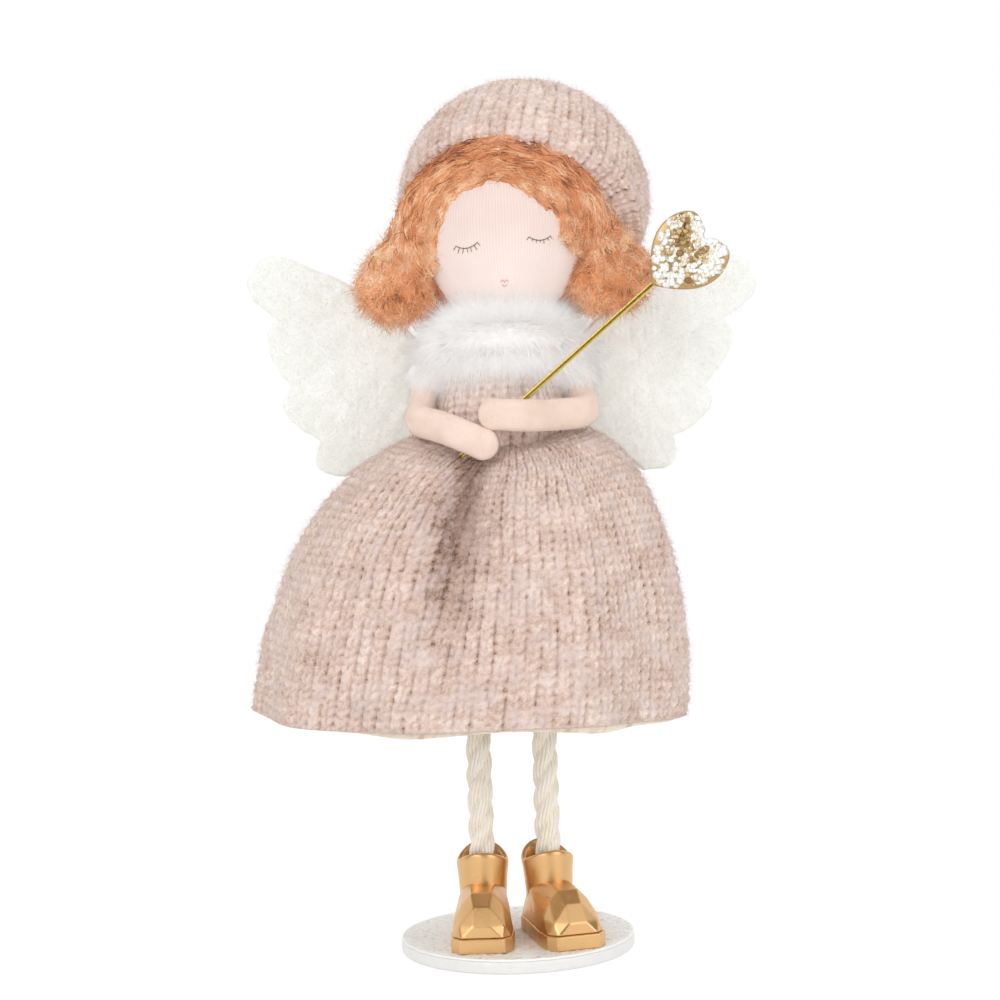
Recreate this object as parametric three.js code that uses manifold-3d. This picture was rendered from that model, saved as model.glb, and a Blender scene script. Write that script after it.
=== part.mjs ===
// A knitted fairy doll on a round stand: rope legs in gold boots, a knitted bell skirt, felt arms
// that hold a heart wand, plush wings, curly yarn hair and a beret.
// Millimetres, +Z up. The origin is the middle of the base's underside. The doll faces -Y, so its
// own left side is +X.
import * as THREE from "three";
import { ConvexGeometry } from "three/addons/geometries/ConvexGeometry.js";
import { mergeVertices } from "three/addons/utils/BufferGeometryUtils.js";
import Module from "manifold-3d";

const wasm = await Module();
wasm.setup();
const { cos, exp, hypot, max, min, PI, sin, sqrt, tan } = Math;
const degrees = THREE.MathUtils.degToRad;

// Clearances
const SEAT_GAP = 0.3; // between soft or curved pieces that touch
const ROD_GAP = 0.15; // round a glued rod, all round
const NECK_RUNNING_GAP = 0.25; // round the dowel that the head turns on
const WING_ROOT_GAP = 0.1; // room for a wing to swing at its root, past the clearance of its sewn edge

// Base
const BASE_RADIUS = 32.5;
const BASE_THICKNESS = 3.4;
const BASE_EDGE_CHAMFER = 0.4;
const SHEET_THICKNESS = 0.6;
const SHEET_INSET = 0.2;
const BASE_SOCKET_DEPTH = 2.4;

// Boots, measured from the leg's axis and from the sole's underside
const LEG_SPACING = 18.5;
const LEFT_TOE_OUT = 16; // degrees
const RIGHT_TOE_OUT = 1; // degrees
const TOE_REACH = 25.6;
const HEEL_REACH = 8;
const TOE_HALF_WIDTH = 6;
const TOE_CORNER_HALF_WIDTH = 8.3;
const TOE_CORNER_REACH = 22.8;
const BALL_HALF_WIDTH = 8.7;
const BALL_REACH = 16.5;
const HEEL_HALF_WIDTH = 7.3;
const HEEL_ROUND = 3; // length of the heel's slanted corner
const SOLE_THICKNESS = 4;
const WELT_WIDTH = 0.8;
const TOE_CAP_HEIGHT = 8.1;
const TOE_CAP_SETBACK = 1.6;
const TOE_PANEL_HALF_WIDTH = 4.2;
const VAMP_FACET_HALF_WIDTH = 5.6;
const VAMP_FACET_HEIGHT = 10.1;
const VAMP_FACET_REACH = 17.5;
const SHOULDER_HEIGHT = 10.9;
const SHOULDER_REACH = 9;
const VAMP_HEIGHT = 13.5;
const VAMP_REACH = 9.6;
const VAMP_HALF_WIDTH = 3.2;
const CUFF_BOTTOM_RADIUS = 6.5;
const CUFF_TOP_RADIUS = 7.3;
const CUFF_LEAN = 1.2; // the rim sits this far behind the ankle
const CUFF_WALL = 1.5;
const CUFF_FRONT_HEIGHT = 22.5;
const CUFF_SIDE_HEIGHT = 19.6;
const CUFF_BACK_HEIGHT = 23.8;
const BOOT_FLOOR = 9;

// Legs
const CORD_DIAMETER = 7.3;
const ROD_DIAMETER = 2;
const LEG_LENGTH = 120.4; // rope between the boot's floor and the torso

// Torso and bodice, measured from the waist
const TORSO_OFFSET = 1; // the doll stands a little to its left of the base's middle
const TORSO_TAIL = 8; // block below the waist
const TORSO_SOCKET_DEPTH = 14;
const BODICE_HALF_WIDTH = 18;
const BODICE_HALF_DEPTH = 15.2;
const BODICE_WALL = 2.4;
const BODICE_TAIL = 6; // knit tucked under the skirt
const BODICE_HEIGHT = 21;
const CHEST_HEIGHT = 7; // the shoulders begin to round off here
const WAIST_NIP = 0.9; // how much narrower the waist is than the chest
const NECK_HOLE_RADIUS = 6.5;

// Skirt, a quarter-ellipse bell
const SKIRT_TOP = 2.6; // above the waist, at the sides
const SKIRT_HEIGHT = 77;
const SKIRT_HALF_WIDTH = 60.6;
const SKIRT_HALF_DEPTH = 51.5;
const SKIRT_WALL = 3;
const SKIRT_SHIFT = 11.5; // the hem hangs this far towards the doll's right
const SKIRT_SLOPE = 0.066; // the hem drops by this much for each millimetre to the doll's left
const SKIRT_FRONT_DROP = 6; // the arms press the front of the waist down
const PLEAT_DEPTH = 11;
const PLEAT_HALF_WIDTH = 10;
const PLEAT_OFFSET = -8; // across, from the torso's middle
const FOLD_COUNT = 9;
const FOLD_DEPTH = 1.3;
const LINING_GAP = 0.6; // the felt is glued here and there, clear of the folds
const LINING_WALL = 1;
const LINING_SHOWS = 1.3; // below the hem

// Fur collar
const COLLAR_RING_HALF_WIDTH = 13.4;
const COLLAR_RING_HALF_DEPTH = 12.4;
const COLLAR_HALF_THICKNESS = 6;
const COLLAR_HALF_HEIGHT = 7.5;

// Neck and head
const HEAD_OFFSET = 2.5; // from the base's middle, towards the doll's left
const DOWEL_DIAMETER = 5;
const DOWEL_IN_TORSO = 13;
const DOWEL_IN_HEAD = 18;
const NECK_LENGTH = 11; // bodice to head
const NECK_RADIUS = 5.2;
const HEAD_HALF_WIDTH = 23;
const HEAD_HALF_DEPTH = 22.2;
const HEAD_HALF_HEIGHT = 23.5;
const HEAD_FULLNESS = 0.06; // how much fuller the brow is than the chin
const HEAD_COVER_WALL = 0.9;
const HEAD_ROLL = 4.4; // degrees, the top of the hair and beret leans to the doll's right

// Hair, measured from the head's middle
const FRINGE_HALF_WIDTH = 23.6;
const FRINGE_RISE = 18.8;
const FRINGE_OFFSET = 1.6; // middle of the arch, upwards
const FRINGE_FORWARD = 5.8;
const FRINGE_LEAN = 0.38; // how far it comes forward for each millimetre up
const FRINGE_HALF_THICKNESS = 5.2;
const FRINGE_HALF_HEIGHT = 5.4;
const FRINGE_END = 22; // degrees below level, at both ends
const FRINGE_WAVES = 5;
const FRINGE_WAVE_SHARE = 0.07; // how much fuller each wave is
const BUNCH_LUMPS = 5;
const BUNCH_LUMP_DEPTH = 0.7;
const BUNCH_FLARE = 0.22; // how much wider a bunch is at its foot than at its middle
const LEFT_BUNCH = { at: [29.5, -2.5, -8.5], half: [12.2, 8.4, 15] };
const RIGHT_BUNCH = { at: [-30.5, -2.5, -10.5], half: [11.6, 8.4, 14] };
const NAPE_HALF_WIDTH = 24.5;
const NAPE_DEPTH = 19;
const NAPE_DROP = 12.5;
const NAPE_HALF_THICKNESS = 4.6;
const NAPE_HALF_HEIGHT = 7.5;

// Beret, measured from the head's middle
const BERET_AT = [6, 9, 11.5];
const BERET_HALF_WIDTH = 34.8;
const BERET_HALF_DEPTH = 29;
const BERET_HALF_HEIGHT = 35;
const BERET_WALL = 2.8;
const RIM_FRONT = [-15.5, 25.5]; // forward edge of the rim: depth and height
const RIM_NAPE = [22, -9]; // back edge of the rim: depth and height
const RIM_SIDE_SLOPE = 0.2; // how much lower the rim is for each millimetre to the doll's left

// Arms, measured from the waist on the torso's axis
const ARM_HALF_THICKNESS = 3.5;
const HAND_HALF_THICKNESS = 2.3;
const ARM_HALF_HEIGHT = 4.3;
const SHOULDER_END_HEIGHT = 20.4;
const SHOULDER_FORWARD = 1;
const ARM_END_ROUND = 4.2; // length over which shoulder and hand round off
const ARM_END_FLAT = 0.02; // share of the section, squared, left at each end
const WRIST_SHARES = [0.3, 0.7]; // the arm thins to the hand between these shares of its length
const LEFT_ARM = {
  upper: { out: -0.8, forward: 3.2, height: 12 },
  elbow: { across: 22.8, forward: 10, height: 7 },
  forearm: { across: 14, forward: 18, height: 5.3 },
  hand: [{ across: 6, height: 5.2 }, { across: -2.5, height: 5.8 }, { across: -6.8, height: 6.3 }],
};
const RIGHT_ARM = {
  upper: { out: -0.8, forward: 3.2, height: 12 },
  elbow: { across: -24, forward: 9.5, height: 6 },
  forearm: { across: -18, forward: 16.6, height: 3.4 },
  hand: [{ across: -12.3, height: 1 }, { across: -6, height: -2 }, { across: -1.9, height: -3.7 }],
};

// Wand, held between the hands and the bodice
const STEM_DIAMETER = 1.5;
const STEM_LENGTH = 69; // tail to the heart's point
const STEM_BELOW_GRIP = 14;
const STEM_STANDOFF = 3.7; // clear of the bodice at the grip
const STEM_IN_HEART = 6;
const GRIP_ACROSS = -1.5;
const GRIP_HEIGHT = 3.7;
const WAND_RISE = 39.7; // degrees
const WAND_LEAN = 5.6; // degrees, the heart comes forward
const HEART_LENGTH = 21.3;
const HEART_HALF_WIDTH = 10.3;
const HEART_NOTCH = 4;
const HEART_SHOULDER = 14; // where it is widest, from its point
const HEART_LOBE = 5.9; // crest of each lobe, from the middle
const HEART_POINT_PULL = [0.25, 0.85]; // curve handles, as shares of shoulder and lobe
const HEART_SIDE_PULL = 0.57;
const HEART_CREST_PULL = 1.45;
const HEART_THICKNESS = 2.8;
const HEART_BEVEL = 0.4;

// Wings, measured from the torso's axis and the waist
const WING_PLUSH = 3;
const WING_PLUSH_ROUND = 0.9;
const WING_BACKING = 1.2;
const WING_BACKING_INSET = 0.97; // the felt is cut this much smaller than the plush
const WING_ROOT = 1.6; // inner edge
const WING_HINGE = 1.2;
const WING_SWEEP = 8; // degrees back
const RIGHT_WING = { turn: 0, inset: 0, height: 2.3 }; // how it is sewn on: degrees down, inwards, upwards
const LEFT_WING = { turn: 7.8, inset: 2.7, height: 7.2 };
const WING_ROOT_LOW = 4;
const WING_ROOT_HIGH = 14.5;
const WING_TOP_EDGE = [[12, 17.5], [22, 27], [33, 37.5], [44, 45.2], [56, 50.4]];
const WING_SCALLOPS = [
  { over: [67, 54.6], to: [72.4, 50.4] },
  { over: [73.6, 43.5], to: [65, 35.5] },
  { over: [69, 28.5], to: [62, 15.6] },
  { over: [64, 8.4], to: [54, -0.4] },
  { over: [55, -8], to: [46.6, -10.9] },
];
const WING_LOWER_EDGE = [26, 3];

// Facets round each piece, and the rings or steps along it
const FACETS = {
  base: 48,
  rod: 12,
  dowel: 16,
  stem: 10,
  cuff: 24,
  cordCurve: 7,
  heartCurve: 6,
  wingCurve: 4,
  bodice: 22,
  bodiceSide: 3,
  bodiceShoulder: 5,
  skirt: 44,
  skirtRows: 10,
  collar: 24,
  collarRows: 8,
  head: 18,
  headRows: 11,
  strand: 10,
  fringeSteps: 18,
  napeSteps: 14,
  bunch: 16,
  bunchRows: 10,
  beret: 20,
  beretRows: 10,
  arm: 12,
  armSteps: 18,
};

// Heights that follow from the sizes above
const deckZ = BASE_THICKNESS + SHEET_THICKNESS;
const bootFloorZ = deckZ + BOOT_FLOOR;
const torsoBottomZ = bootFloorZ + LEG_LENGTH + 2 * SEAT_GAP;
const waistZ = torsoBottomZ + TORSO_TAIL;
const headZ = waistZ + BODICE_HEIGHT + NECK_LENGTH + HEAD_HALF_HEIGHT;

// Shared makers

const point = (x, y, z) => new THREE.Vector3(x, y, z);
const blend = (from, to, share) => from + (to - from) * share;

/** A closed three.js geometry as a solid that can be cut and joined. */
function solid(geometry) {
  const bare = geometry.clone();
  bare.deleteAttribute("normal");
  bare.deleteAttribute("uv");
  const merged = mergeVertices(bare, 1e-4);
  const vertProperties = new Float32Array(merged.attributes.position.array);
  const triVerts = new Uint32Array(merged.index.array);
  return new wasm.Manifold(new wasm.Mesh({ numProp: 3, vertProperties, triVerts }));
}

/** The geometry of a solid's largest body. */
function geometryOf(body) {
  const bodies = body.decompose();
  bodies.sort((a, b) => b.volume() - a.volume());
  const mesh = bodies[0].getMesh();
  const geometry = new THREE.BufferGeometry();
  geometry.setAttribute("position", new THREE.BufferAttribute(mesh.vertProperties, mesh.numProp));
  geometry.setIndex(new THREE.BufferAttribute(mesh.triVerts, 1));
  geometry.computeVertexNormals();
  return geometry;
}

/**
 * Joins rings with equal point counts, each quad split along its shorter diagonal. A loop joins its last
 * ring to its first, and any other loft is capped.
 */
function loft(rings, loop = false) {
  const count = rings[0].length;
  const points = rings.flat();
  const faces = [];
  const joins = loop ? rings.length : rings.length - 1;
  for (let r = 0; r < joins; r++) {
    const low = r * count;
    const high = ((r + 1) % rings.length) * count;
    for (let i = 0; i < count; i++) {
      const j = (i + 1) % count;
      const [a, b, c, d] = [low + i, low + j, high + j, high + i];
      const rising = points[a].distanceTo(points[c]) < points[b].distanceTo(points[d]);
      faces.push(...(rising ? [a, b, c, a, c, d] : [a, b, d, b, c, d]));
    }
  }
  if (!loop) {
    for (const [ring, first, end] of [[rings[0], 0, true], [rings.at(-1), (rings.length - 1) * count, false]]) {
      const middle = ring.reduce((sum, p) => sum.add(p), point(0, 0, 0)).divideScalar(count);
      points.push(middle);
      for (let i = 0; i < count; i++) {
        const j = (i + 1) % count;
        faces.push(points.length - 1, first + (end ? j : i), first + (end ? i : j));
      }
    }
  }
  const volume = faces.reduce((sum, _, k) => {
    if (k % 3) return sum;
    const [a, b, c] = [points[faces[k]], points[faces[k + 1]], points[faces[k + 2]]];
    return sum + a.dot(b.clone().cross(c));
  }, 0);
  const geometry = new THREE.BufferGeometry().setFromPoints(points);
  geometry.setIndex(volume < 0 ? faces.reverse() : faces);
  geometry.computeVertexNormals();
  return geometry;
}

/** A level ellipse of points round (x, y) at a height. */
function ellipse(count, halfX, halfY, z, x = 0, y = 0) {
  return Array.from({ length: count }, (_, i) => {
    const angle = (2 * PI * i) / count;
    return point(x + halfX * cos(angle), y + halfY * sin(angle), z);
  });
}

/** Carries an oval along points; each station gives its place, a side direction and two half sizes. */
function sweep(stations, count) {
  const rings = stations.map((station, i) => {
    const before = stations[max(0, i - 1)].at;
    const after = stations[min(stations.length - 1, i + 1)].at;
    const along = after.clone().sub(before).normalize();
    const up = along.clone().cross(station.side).normalize();
    const side = up.clone().cross(along).normalize();
    return Array.from({ length: count }, (_, k) => {
      const angle = (2 * PI * k) / count;
      const across = side.clone().multiplyScalar(station.halfSide * cos(angle));
      return station.at.clone().add(across).add(up.clone().multiplyScalar(station.halfUp * sin(angle)));
    });
  });
  return loft(rings);
}

/** A round bar along +Z from one height to another. */
function bar(radius, low, high, sides, x = 0, y = 0) {
  const geometry = new THREE.CylinderGeometry(radius, radius, high - low, sides);
  geometry.rotateX(PI / 2);
  geometry.translate(x, y, (low + high) / 2);
  return geometry;
}

/** Adds a named piece with its own material to a group. */
function addPiece(group, name, geometry, finish) {
  const mesh = new THREE.Mesh(geometry, new THREE.MeshStandardMaterial(finish));
  mesh.name = name;
  group.add(mesh);
}

const FINISH = {
  whitePaint: { color: 0xf1efec, roughness: 0.45, metalness: 0 },
  pearlPaper: { color: 0xf3f1ee, roughness: 0.35, metalness: 0.1 },
  goldPaint: { color: 0xc79a45, roughness: 0.35, metalness: 0.75 },
  steel: { color: 0x9a9a98, roughness: 0.4, metalness: 1 },
  cotton: { color: 0xe2d6c6, roughness: 0.95, metalness: 0 },
  wood: { color: 0xc8a878, roughness: 0.7, metalness: 0 },
  foam: { color: 0xf4f2ee, roughness: 0.9, metalness: 0 },
  pinkKnit: { color: 0xc4a79b, roughness: 1, metalness: 0 },
  creamFelt: { color: 0xe9dcc9, roughness: 1, metalness: 0 },
  whiteFur: { color: 0xf3f0ec, roughness: 1, metalness: 0 },
  jersey: { color: 0xf3ddd3, roughness: 0.9, metalness: 0 },
  gingerYarn: { color: 0xc07a3c, roughness: 1, metalness: 0 },
  peachFelt: { color: 0xe8b79b, roughness: 0.95, metalness: 0 },
  brass: { color: 0xb8903f, roughness: 0.3, metalness: 1 },
  goldGlitter: { color: 0xb98f3c, roughness: 0.3, metalness: 0.8 },
};

const doll = new THREE.Group();
const figure = new THREE.Group();
figure.position.set(TORSO_OFFSET, 0, waistZ);
const head = new THREE.Group();
head.position.set(HEAD_OFFSET, 0, headZ);
doll.add(figure, head);

// Leg rods, and the sockets they stand in
const rodRadius = ROD_DIAMETER / 2;
const legX = { left: LEG_SPACING / 2, right: -LEG_SPACING / 2 };
const rodHole = (x, low, high) => solid(bar(rodRadius + ROD_GAP, low, high, FACETS.rod, x));

function cutRodHoles(body, low, high, shift = 0) {
  const left = rodHole(legX.left - shift, low, high);
  const right = rodHole(legX.right - shift, low, high);
  return body.subtract(left).subtract(right);
}

// Base: a chamfered disc with a thin sheet glued on top
function baseDisc() {
  const profile = [
    [0, 0],
    [BASE_RADIUS - BASE_EDGE_CHAMFER, 0],
    [BASE_RADIUS, BASE_EDGE_CHAMFER],
    [BASE_RADIUS, BASE_THICKNESS],
    [0, BASE_THICKNESS],
  ].map(([r, z]) => new THREE.Vector2(r, z));
  const disc = new THREE.LatheGeometry(profile, FACETS.base).rotateX(PI / 2);
  return geometryOf(cutRodHoles(solid(disc), BASE_THICKNESS - BASE_SOCKET_DEPTH, deckZ));
}

function baseSheet() {
  const sheet = bar(BASE_RADIUS - SHEET_INSET, BASE_THICKNESS, deckZ, FACETS.base);
  return geometryOf(cutRodHoles(solid(sheet), 0, deckZ + SHEET_THICKNESS));
}

addPiece(doll, "base_disc", baseDisc(), FINISH.whitePaint);
addPiece(doll, "base_sheet", baseSheet(), FINISH.pearlPaper);

// Boot: an extruded sole, a faceted upper and a scooped cuff, hollow for the rope
function bootSole() {
  const outline = new THREE.Shape();
  const side = [
    [TOE_HALF_WIDTH, -TOE_REACH],
    [TOE_CORNER_HALF_WIDTH, -TOE_CORNER_REACH],
    [BALL_HALF_WIDTH, -BALL_REACH],
    [HEEL_HALF_WIDTH, 0],
    [HEEL_HALF_WIDTH, HEEL_REACH - HEEL_ROUND],
    [HEEL_HALF_WIDTH - HEEL_ROUND, HEEL_REACH],
  ];
  const mirrored = side.map(([x, y]) => [-x, y]).reverse();
  outline.setFromPoints([...side, ...mirrored].map(([x, y]) => new THREE.Vector2(x, y)));
  return new THREE.ExtrudeGeometry(outline, { depth: SOLE_THICKNESS, bevelEnabled: false });
}

function bootUpper() {
  const capReach = TOE_REACH - TOE_CAP_SETBACK;
  const side = [
    [TOE_HALF_WIDTH - WELT_WIDTH, TOE_REACH - WELT_WIDTH, SOLE_THICKNESS],
    [TOE_CORNER_HALF_WIDTH - WELT_WIDTH, TOE_CORNER_REACH - WELT_WIDTH / 2, SOLE_THICKNESS],
    [BALL_HALF_WIDTH - WELT_WIDTH, BALL_REACH, SOLE_THICKNESS],
    [HEEL_HALF_WIDTH - WELT_WIDTH, HEEL_ROUND - HEEL_REACH, SOLE_THICKNESS],
    [HEEL_HALF_WIDTH - HEEL_ROUND, WELT_WIDTH - HEEL_REACH, SOLE_THICKNESS],
    [TOE_PANEL_HALF_WIDTH, capReach, TOE_CAP_HEIGHT],
    [TOE_CORNER_HALF_WIDTH - WELT_WIDTH, TOE_CORNER_REACH - TOE_CAP_SETBACK, TOE_CAP_HEIGHT],
    [VAMP_FACET_HALF_WIDTH, VAMP_FACET_REACH, VAMP_FACET_HEIGHT],
    [BALL_HALF_WIDTH - WELT_WIDTH, SHOULDER_REACH, SHOULDER_HEIGHT],
    [VAMP_HALF_WIDTH, VAMP_REACH, VAMP_HEIGHT],
    [CUFF_BOTTOM_RADIUS, 0, VAMP_HEIGHT],
    [HEEL_HALF_WIDTH - HEEL_ROUND, HEEL_ROUND - HEEL_REACH, VAMP_HEIGHT],
  ];
  const points = side.flatMap(([x, reach, z]) => [point(x, -reach, z), point(-x, -reach, z)]);
  return new ConvexGeometry(points);
}

function bootCuff() {
  const scoop = (p) => {
    const facing = p.y / hypot(p.x, p.y);
    const end = facing < 0 ? CUFF_FRONT_HEIGHT : CUFF_BACK_HEIGHT;
    return point(p.x, p.y + CUFF_LEAN, blend(CUFF_SIDE_HEIGHT, end, facing * facing));
  };
  const bottom = ellipse(FACETS.cuff, CUFF_BOTTOM_RADIUS, CUFF_BOTTOM_RADIUS, SOLE_THICKNESS);
  const waist = ellipse(FACETS.cuff, CUFF_BOTTOM_RADIUS, CUFF_BOTTOM_RADIUS, VAMP_HEIGHT);
  const rim = ellipse(FACETS.cuff, CUFF_TOP_RADIUS, CUFF_TOP_RADIUS, 0).map(scoop);
  return loft([bottom, waist, rim]);
}

function boot() {
  const cuffRadius = CUFF_BOTTOM_RADIUS - CUFF_WALL;
  const tall = 2 * CUFF_BACK_HEIGHT;
  const hollow = solid(bar(cuffRadius, BOOT_FLOOR, tall, FACETS.cuff));
  const sleeve = solid(bar(rodRadius + ROD_GAP, -SOLE_THICKNESS, tall, FACETS.rod));
  const shell = solid(bootSole()).add(solid(bootUpper())).add(solid(bootCuff()));
  return geometryOf(shell.subtract(hollow).subtract(sleeve));
}

// Legs: a rope tube over a steel rod, standing in each boot
function legCord() {
  const section = new THREE.Shape().absarc(0, 0, CORD_DIAMETER / 2, 0, 2 * PI);
  section.holes.push(new THREE.Path().absarc(0, 0, rodRadius + ROD_GAP, 0, 2 * PI, true));
  const along = { depth: LEG_LENGTH, bevelEnabled: false, curveSegments: FACETS.cordCurve };
  return new THREE.ExtrudeGeometry(section, along);
}

function legRod() {
  const low = BASE_THICKNESS - BASE_SOCKET_DEPTH + SEAT_GAP;
  const high = torsoBottomZ + TORSO_SOCKET_DEPTH - SEAT_GAP;
  return bar(rodRadius, low, high, FACETS.rod);
}

for (const [side, toeOut] of [["left", LEFT_TOE_OUT], ["right", -RIGHT_TOE_OUT]]) {
  const leg = new THREE.Group();
  leg.position.x = legX[side];
  const foot = new THREE.Group();
  foot.position.z = deckZ;
  foot.rotation.z = degrees(toeOut);
  const rope = new THREE.Group();
  rope.position.z = bootFloorZ + SEAT_GAP;
  addPiece(foot, `${side}_boot`, boot(), FINISH.goldPaint);
  addPiece(rope, `${side}_leg_cord`, legCord(), FINISH.cotton);
  addPiece(leg, `${side}_leg_rod`, legRod(), FINISH.steel);
  leg.add(foot, rope);
  doll.add(leg);
}

// Bodice: its half size at a height above the waist, nipped at the waist and rounded to the neck
function bodiceHalf(height, half) {
  const rise = THREE.MathUtils.clamp((height - CHEST_HEIGHT) / (BODICE_HEIGHT - CHEST_HEIGHT), 0, 1);
  const nip = WAIST_NIP * (1 - THREE.MathUtils.smoothstep(height, 0, CHEST_HEIGHT));
  return NECK_HOLE_RADIUS + (half - nip - NECK_HOLE_RADIUS) * sqrt(1 - rise * rise);
}

/** Heights from a low one to the neck, closer together where the shoulders turn. */
function bodiceHeights(low) {
  const below = FACETS.bodiceSide;
  const above = FACETS.bodiceShoulder;
  const straight = Array.from({ length: below }, (_, i) => blend(low, CHEST_HEIGHT, i / below));
  const round = Array.from({ length: above + 1 }, (_, i) => {
    return CHEST_HEIGHT + (BODICE_HEIGHT - CHEST_HEIGHT) * sin((PI / 2) * (i / above));
  });
  return [...straight, ...round];
}

function bodiceRings(heights, inset) {
  return heights.map((z) => {
    const halfX = bodiceHalf(z, BODICE_HALF_WIDTH) - inset;
    return ellipse(FACETS.bodice, halfX, bodiceHalf(z, BODICE_HALF_DEPTH) - inset, z);
  });
}

const dowelX = HEAD_OFFSET - TORSO_OFFSET;
const dowelRadius = DOWEL_DIAMETER / 2;

function torsoCore() {
  const block = loft(bodiceRings(bodiceHeights(-TORSO_TAIL), BODICE_WALL + SEAT_GAP));
  const socketLow = BODICE_HEIGHT - DOWEL_IN_TORSO;
  const socket = bar(dowelRadius + ROD_GAP, socketLow, 2 * BODICE_HEIGHT, FACETS.dowel, dowelX);
  const drilled = cutRodHoles(solid(block), -2 * TORSO_TAIL, TORSO_SOCKET_DEPTH - TORSO_TAIL, TORSO_OFFSET);
  return geometryOf(drilled.subtract(solid(socket)));
}

function bodice() {
  const heights = bodiceHeights(-BODICE_TAIL);
  const outer = bodiceRings(heights, 0);
  const inner = bodiceRings(heights, BODICE_WALL).reverse();
  return loft([...outer, ...inner], true);
}

addPiece(figure, "torso_core", torsoCore(), FINISH.wood);
addPiece(figure, "bodice", bodice(), FINISH.pinkKnit);

// Skirt: a bell whose profile is a quarter ellipse, with a front pleat and shallow folds at the hem
const LINING_FIRST_ROW = 6; // the felt starts at this ring, counted from the waist

/** A point of the bell: angle round it, turn from 0 at the waist to a quarter at the hem, depth inside it. */
function skirtPoint(angle, turn, inside, hang = 0) {
  const waistX = bodiceHalf(SKIRT_TOP, BODICE_HALF_WIDTH) + SEAT_GAP;
  const waistY = bodiceHalf(SKIRT_TOP, BODICE_HALF_DEPTH) + SEAT_GAP;
  const outX = SKIRT_HALF_WIDTH - waistX;
  const outY = SKIRT_HALF_DEPTH - waistY;
  const spread = hypot(outX * cos(angle), outY * sin(angle));
  const tilt = hypot(SKIRT_HEIGHT * sin(turn), spread * cos(turn));
  const inward = (inside * SKIRT_HEIGHT * sin(turn)) / tilt;
  const under = (inside * spread * cos(turn)) / tilt;
  const front = max(0, -sin(angle));
  const radius = hypot(waistX * cos(angle), waistY * sin(angle)) + spread * sin(turn);
  const pleatAcross = radius * cos(angle) - PLEAT_OFFSET;
  const pleatFade = turn < PI / 4 ? sqrt(sin(2 * turn)) : sin(2 * turn) ** 2;
  const pleat = front * PLEAT_DEPTH * pleatFade * exp(-((pleatAcross / PLEAT_HALF_WIDTH) ** 2));
  const fold = FOLD_DEPTH * sin(turn) ** 3 * cos(FOLD_COUNT * angle);
  const drawn = inward + pleat + fold;
  const fall = 1 - cos(turn);
  const x = (waistX + outX * sin(turn) - drawn) * cos(angle) - SKIRT_SHIFT * fall;
  const y = (waistY + outY * sin(turn) - drawn) * sin(angle);
  const drop = SKIRT_FRONT_DROP * front * front * (1 - fall) + SKIRT_SLOPE * x * fall;
  return point(x, y, SKIRT_TOP - SKIRT_HEIGHT * fall - under - drop - hang);
}

function skirtRing(row, inside, hang = 0) {
  const turn = (PI / 2) * (row / FACETS.skirtRows);
  return Array.from({ length: FACETS.skirt }, (_, i) => {
    return skirtPoint((2 * PI * i) / FACETS.skirt, turn, inside, hang);
  });
}

function skirtShell(firstRow, outside, inside, hang) {
  const rows = Array.from({ length: FACETS.skirtRows - firstRow + 1 }, (_, i) => firstRow + i);
  const hangAt = (row) => (row === FACETS.skirtRows ? hang : 0);
  const outer = rows.map((row) => skirtRing(row, outside, hangAt(row)));
  const inner = rows.map((row) => skirtRing(row, inside, hangAt(row))).reverse();
  return loft([...outer, ...inner], true);
}

const liningOutside = SKIRT_WALL + LINING_GAP;
addPiece(figure, "skirt", skirtShell(0, 0, SKIRT_WALL, 0), FINISH.pinkKnit);
addPiece(
  figure,
  "skirt_lining",
  skirtShell(LINING_FIRST_ROW, liningOutside, liningOutside + LINING_WALL, LINING_SHOWS),
  FINISH.creamFelt,
);

// Fur collar: an oval ring that lies on the shoulders, as low as the bodice lets it
const COLLAR_SAMPLES = 20; // places tried on each side of the ring's middle

function collarHeight() {
  const samples = Array.from({ length: 2 * COLLAR_SAMPLES + 1 }, (_, i) => i / COLLAR_SAMPLES - 1);
  const seats = samples.flatMap((share) => {
    const sections = [
      [COLLAR_RING_HALF_WIDTH, BODICE_HALF_WIDTH],
      [COLLAR_RING_HALF_DEPTH, BODICE_HALF_DEPTH],
    ];
    return sections.map(([ring, body]) => {
      const reach = (ring + COLLAR_HALF_THICKNESS * share - NECK_HOLE_RADIUS) / (body - NECK_HOLE_RADIUS);
      if (reach > 1) return CHEST_HEIGHT;
      const shoulder = (BODICE_HEIGHT - CHEST_HEIGHT) * sqrt(1 - max(0, reach) ** 2);
      return CHEST_HEIGHT + shoulder + COLLAR_HALF_HEIGHT * sqrt(1 - share * share);
    });
  });
  return max(...seats) + SEAT_GAP;
}

function furCollar() {
  const middleZ = collarHeight();
  const rings = Array.from({ length: FACETS.collarRows }, (_, i) => {
    const angle = (2 * PI * i) / FACETS.collarRows;
    const out = COLLAR_HALF_THICKNESS * cos(angle);
    const z = middleZ + COLLAR_HALF_HEIGHT * sin(angle);
    return ellipse(FACETS.collar, COLLAR_RING_HALF_WIDTH + out, COLLAR_RING_HALF_DEPTH + out, z, dowelX / 2);
  });
  return loft(rings, true);
}

addPiece(figure, "fur_collar", furCollar(), FINISH.whiteFur);

// Neck dowel: glued in the torso, running in the head
const headBottom = BODICE_HEIGHT + NECK_LENGTH;
const dowelLow = BODICE_HEIGHT - DOWEL_IN_TORSO + SEAT_GAP;
const dowelHigh = headBottom + DOWEL_IN_HEAD;
const dowel = bar(dowelRadius, dowelLow, dowelHigh, FACETS.dowel, dowelX);
addPiece(figure, "neck_dowel", dowel, FINISH.wood);

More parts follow.
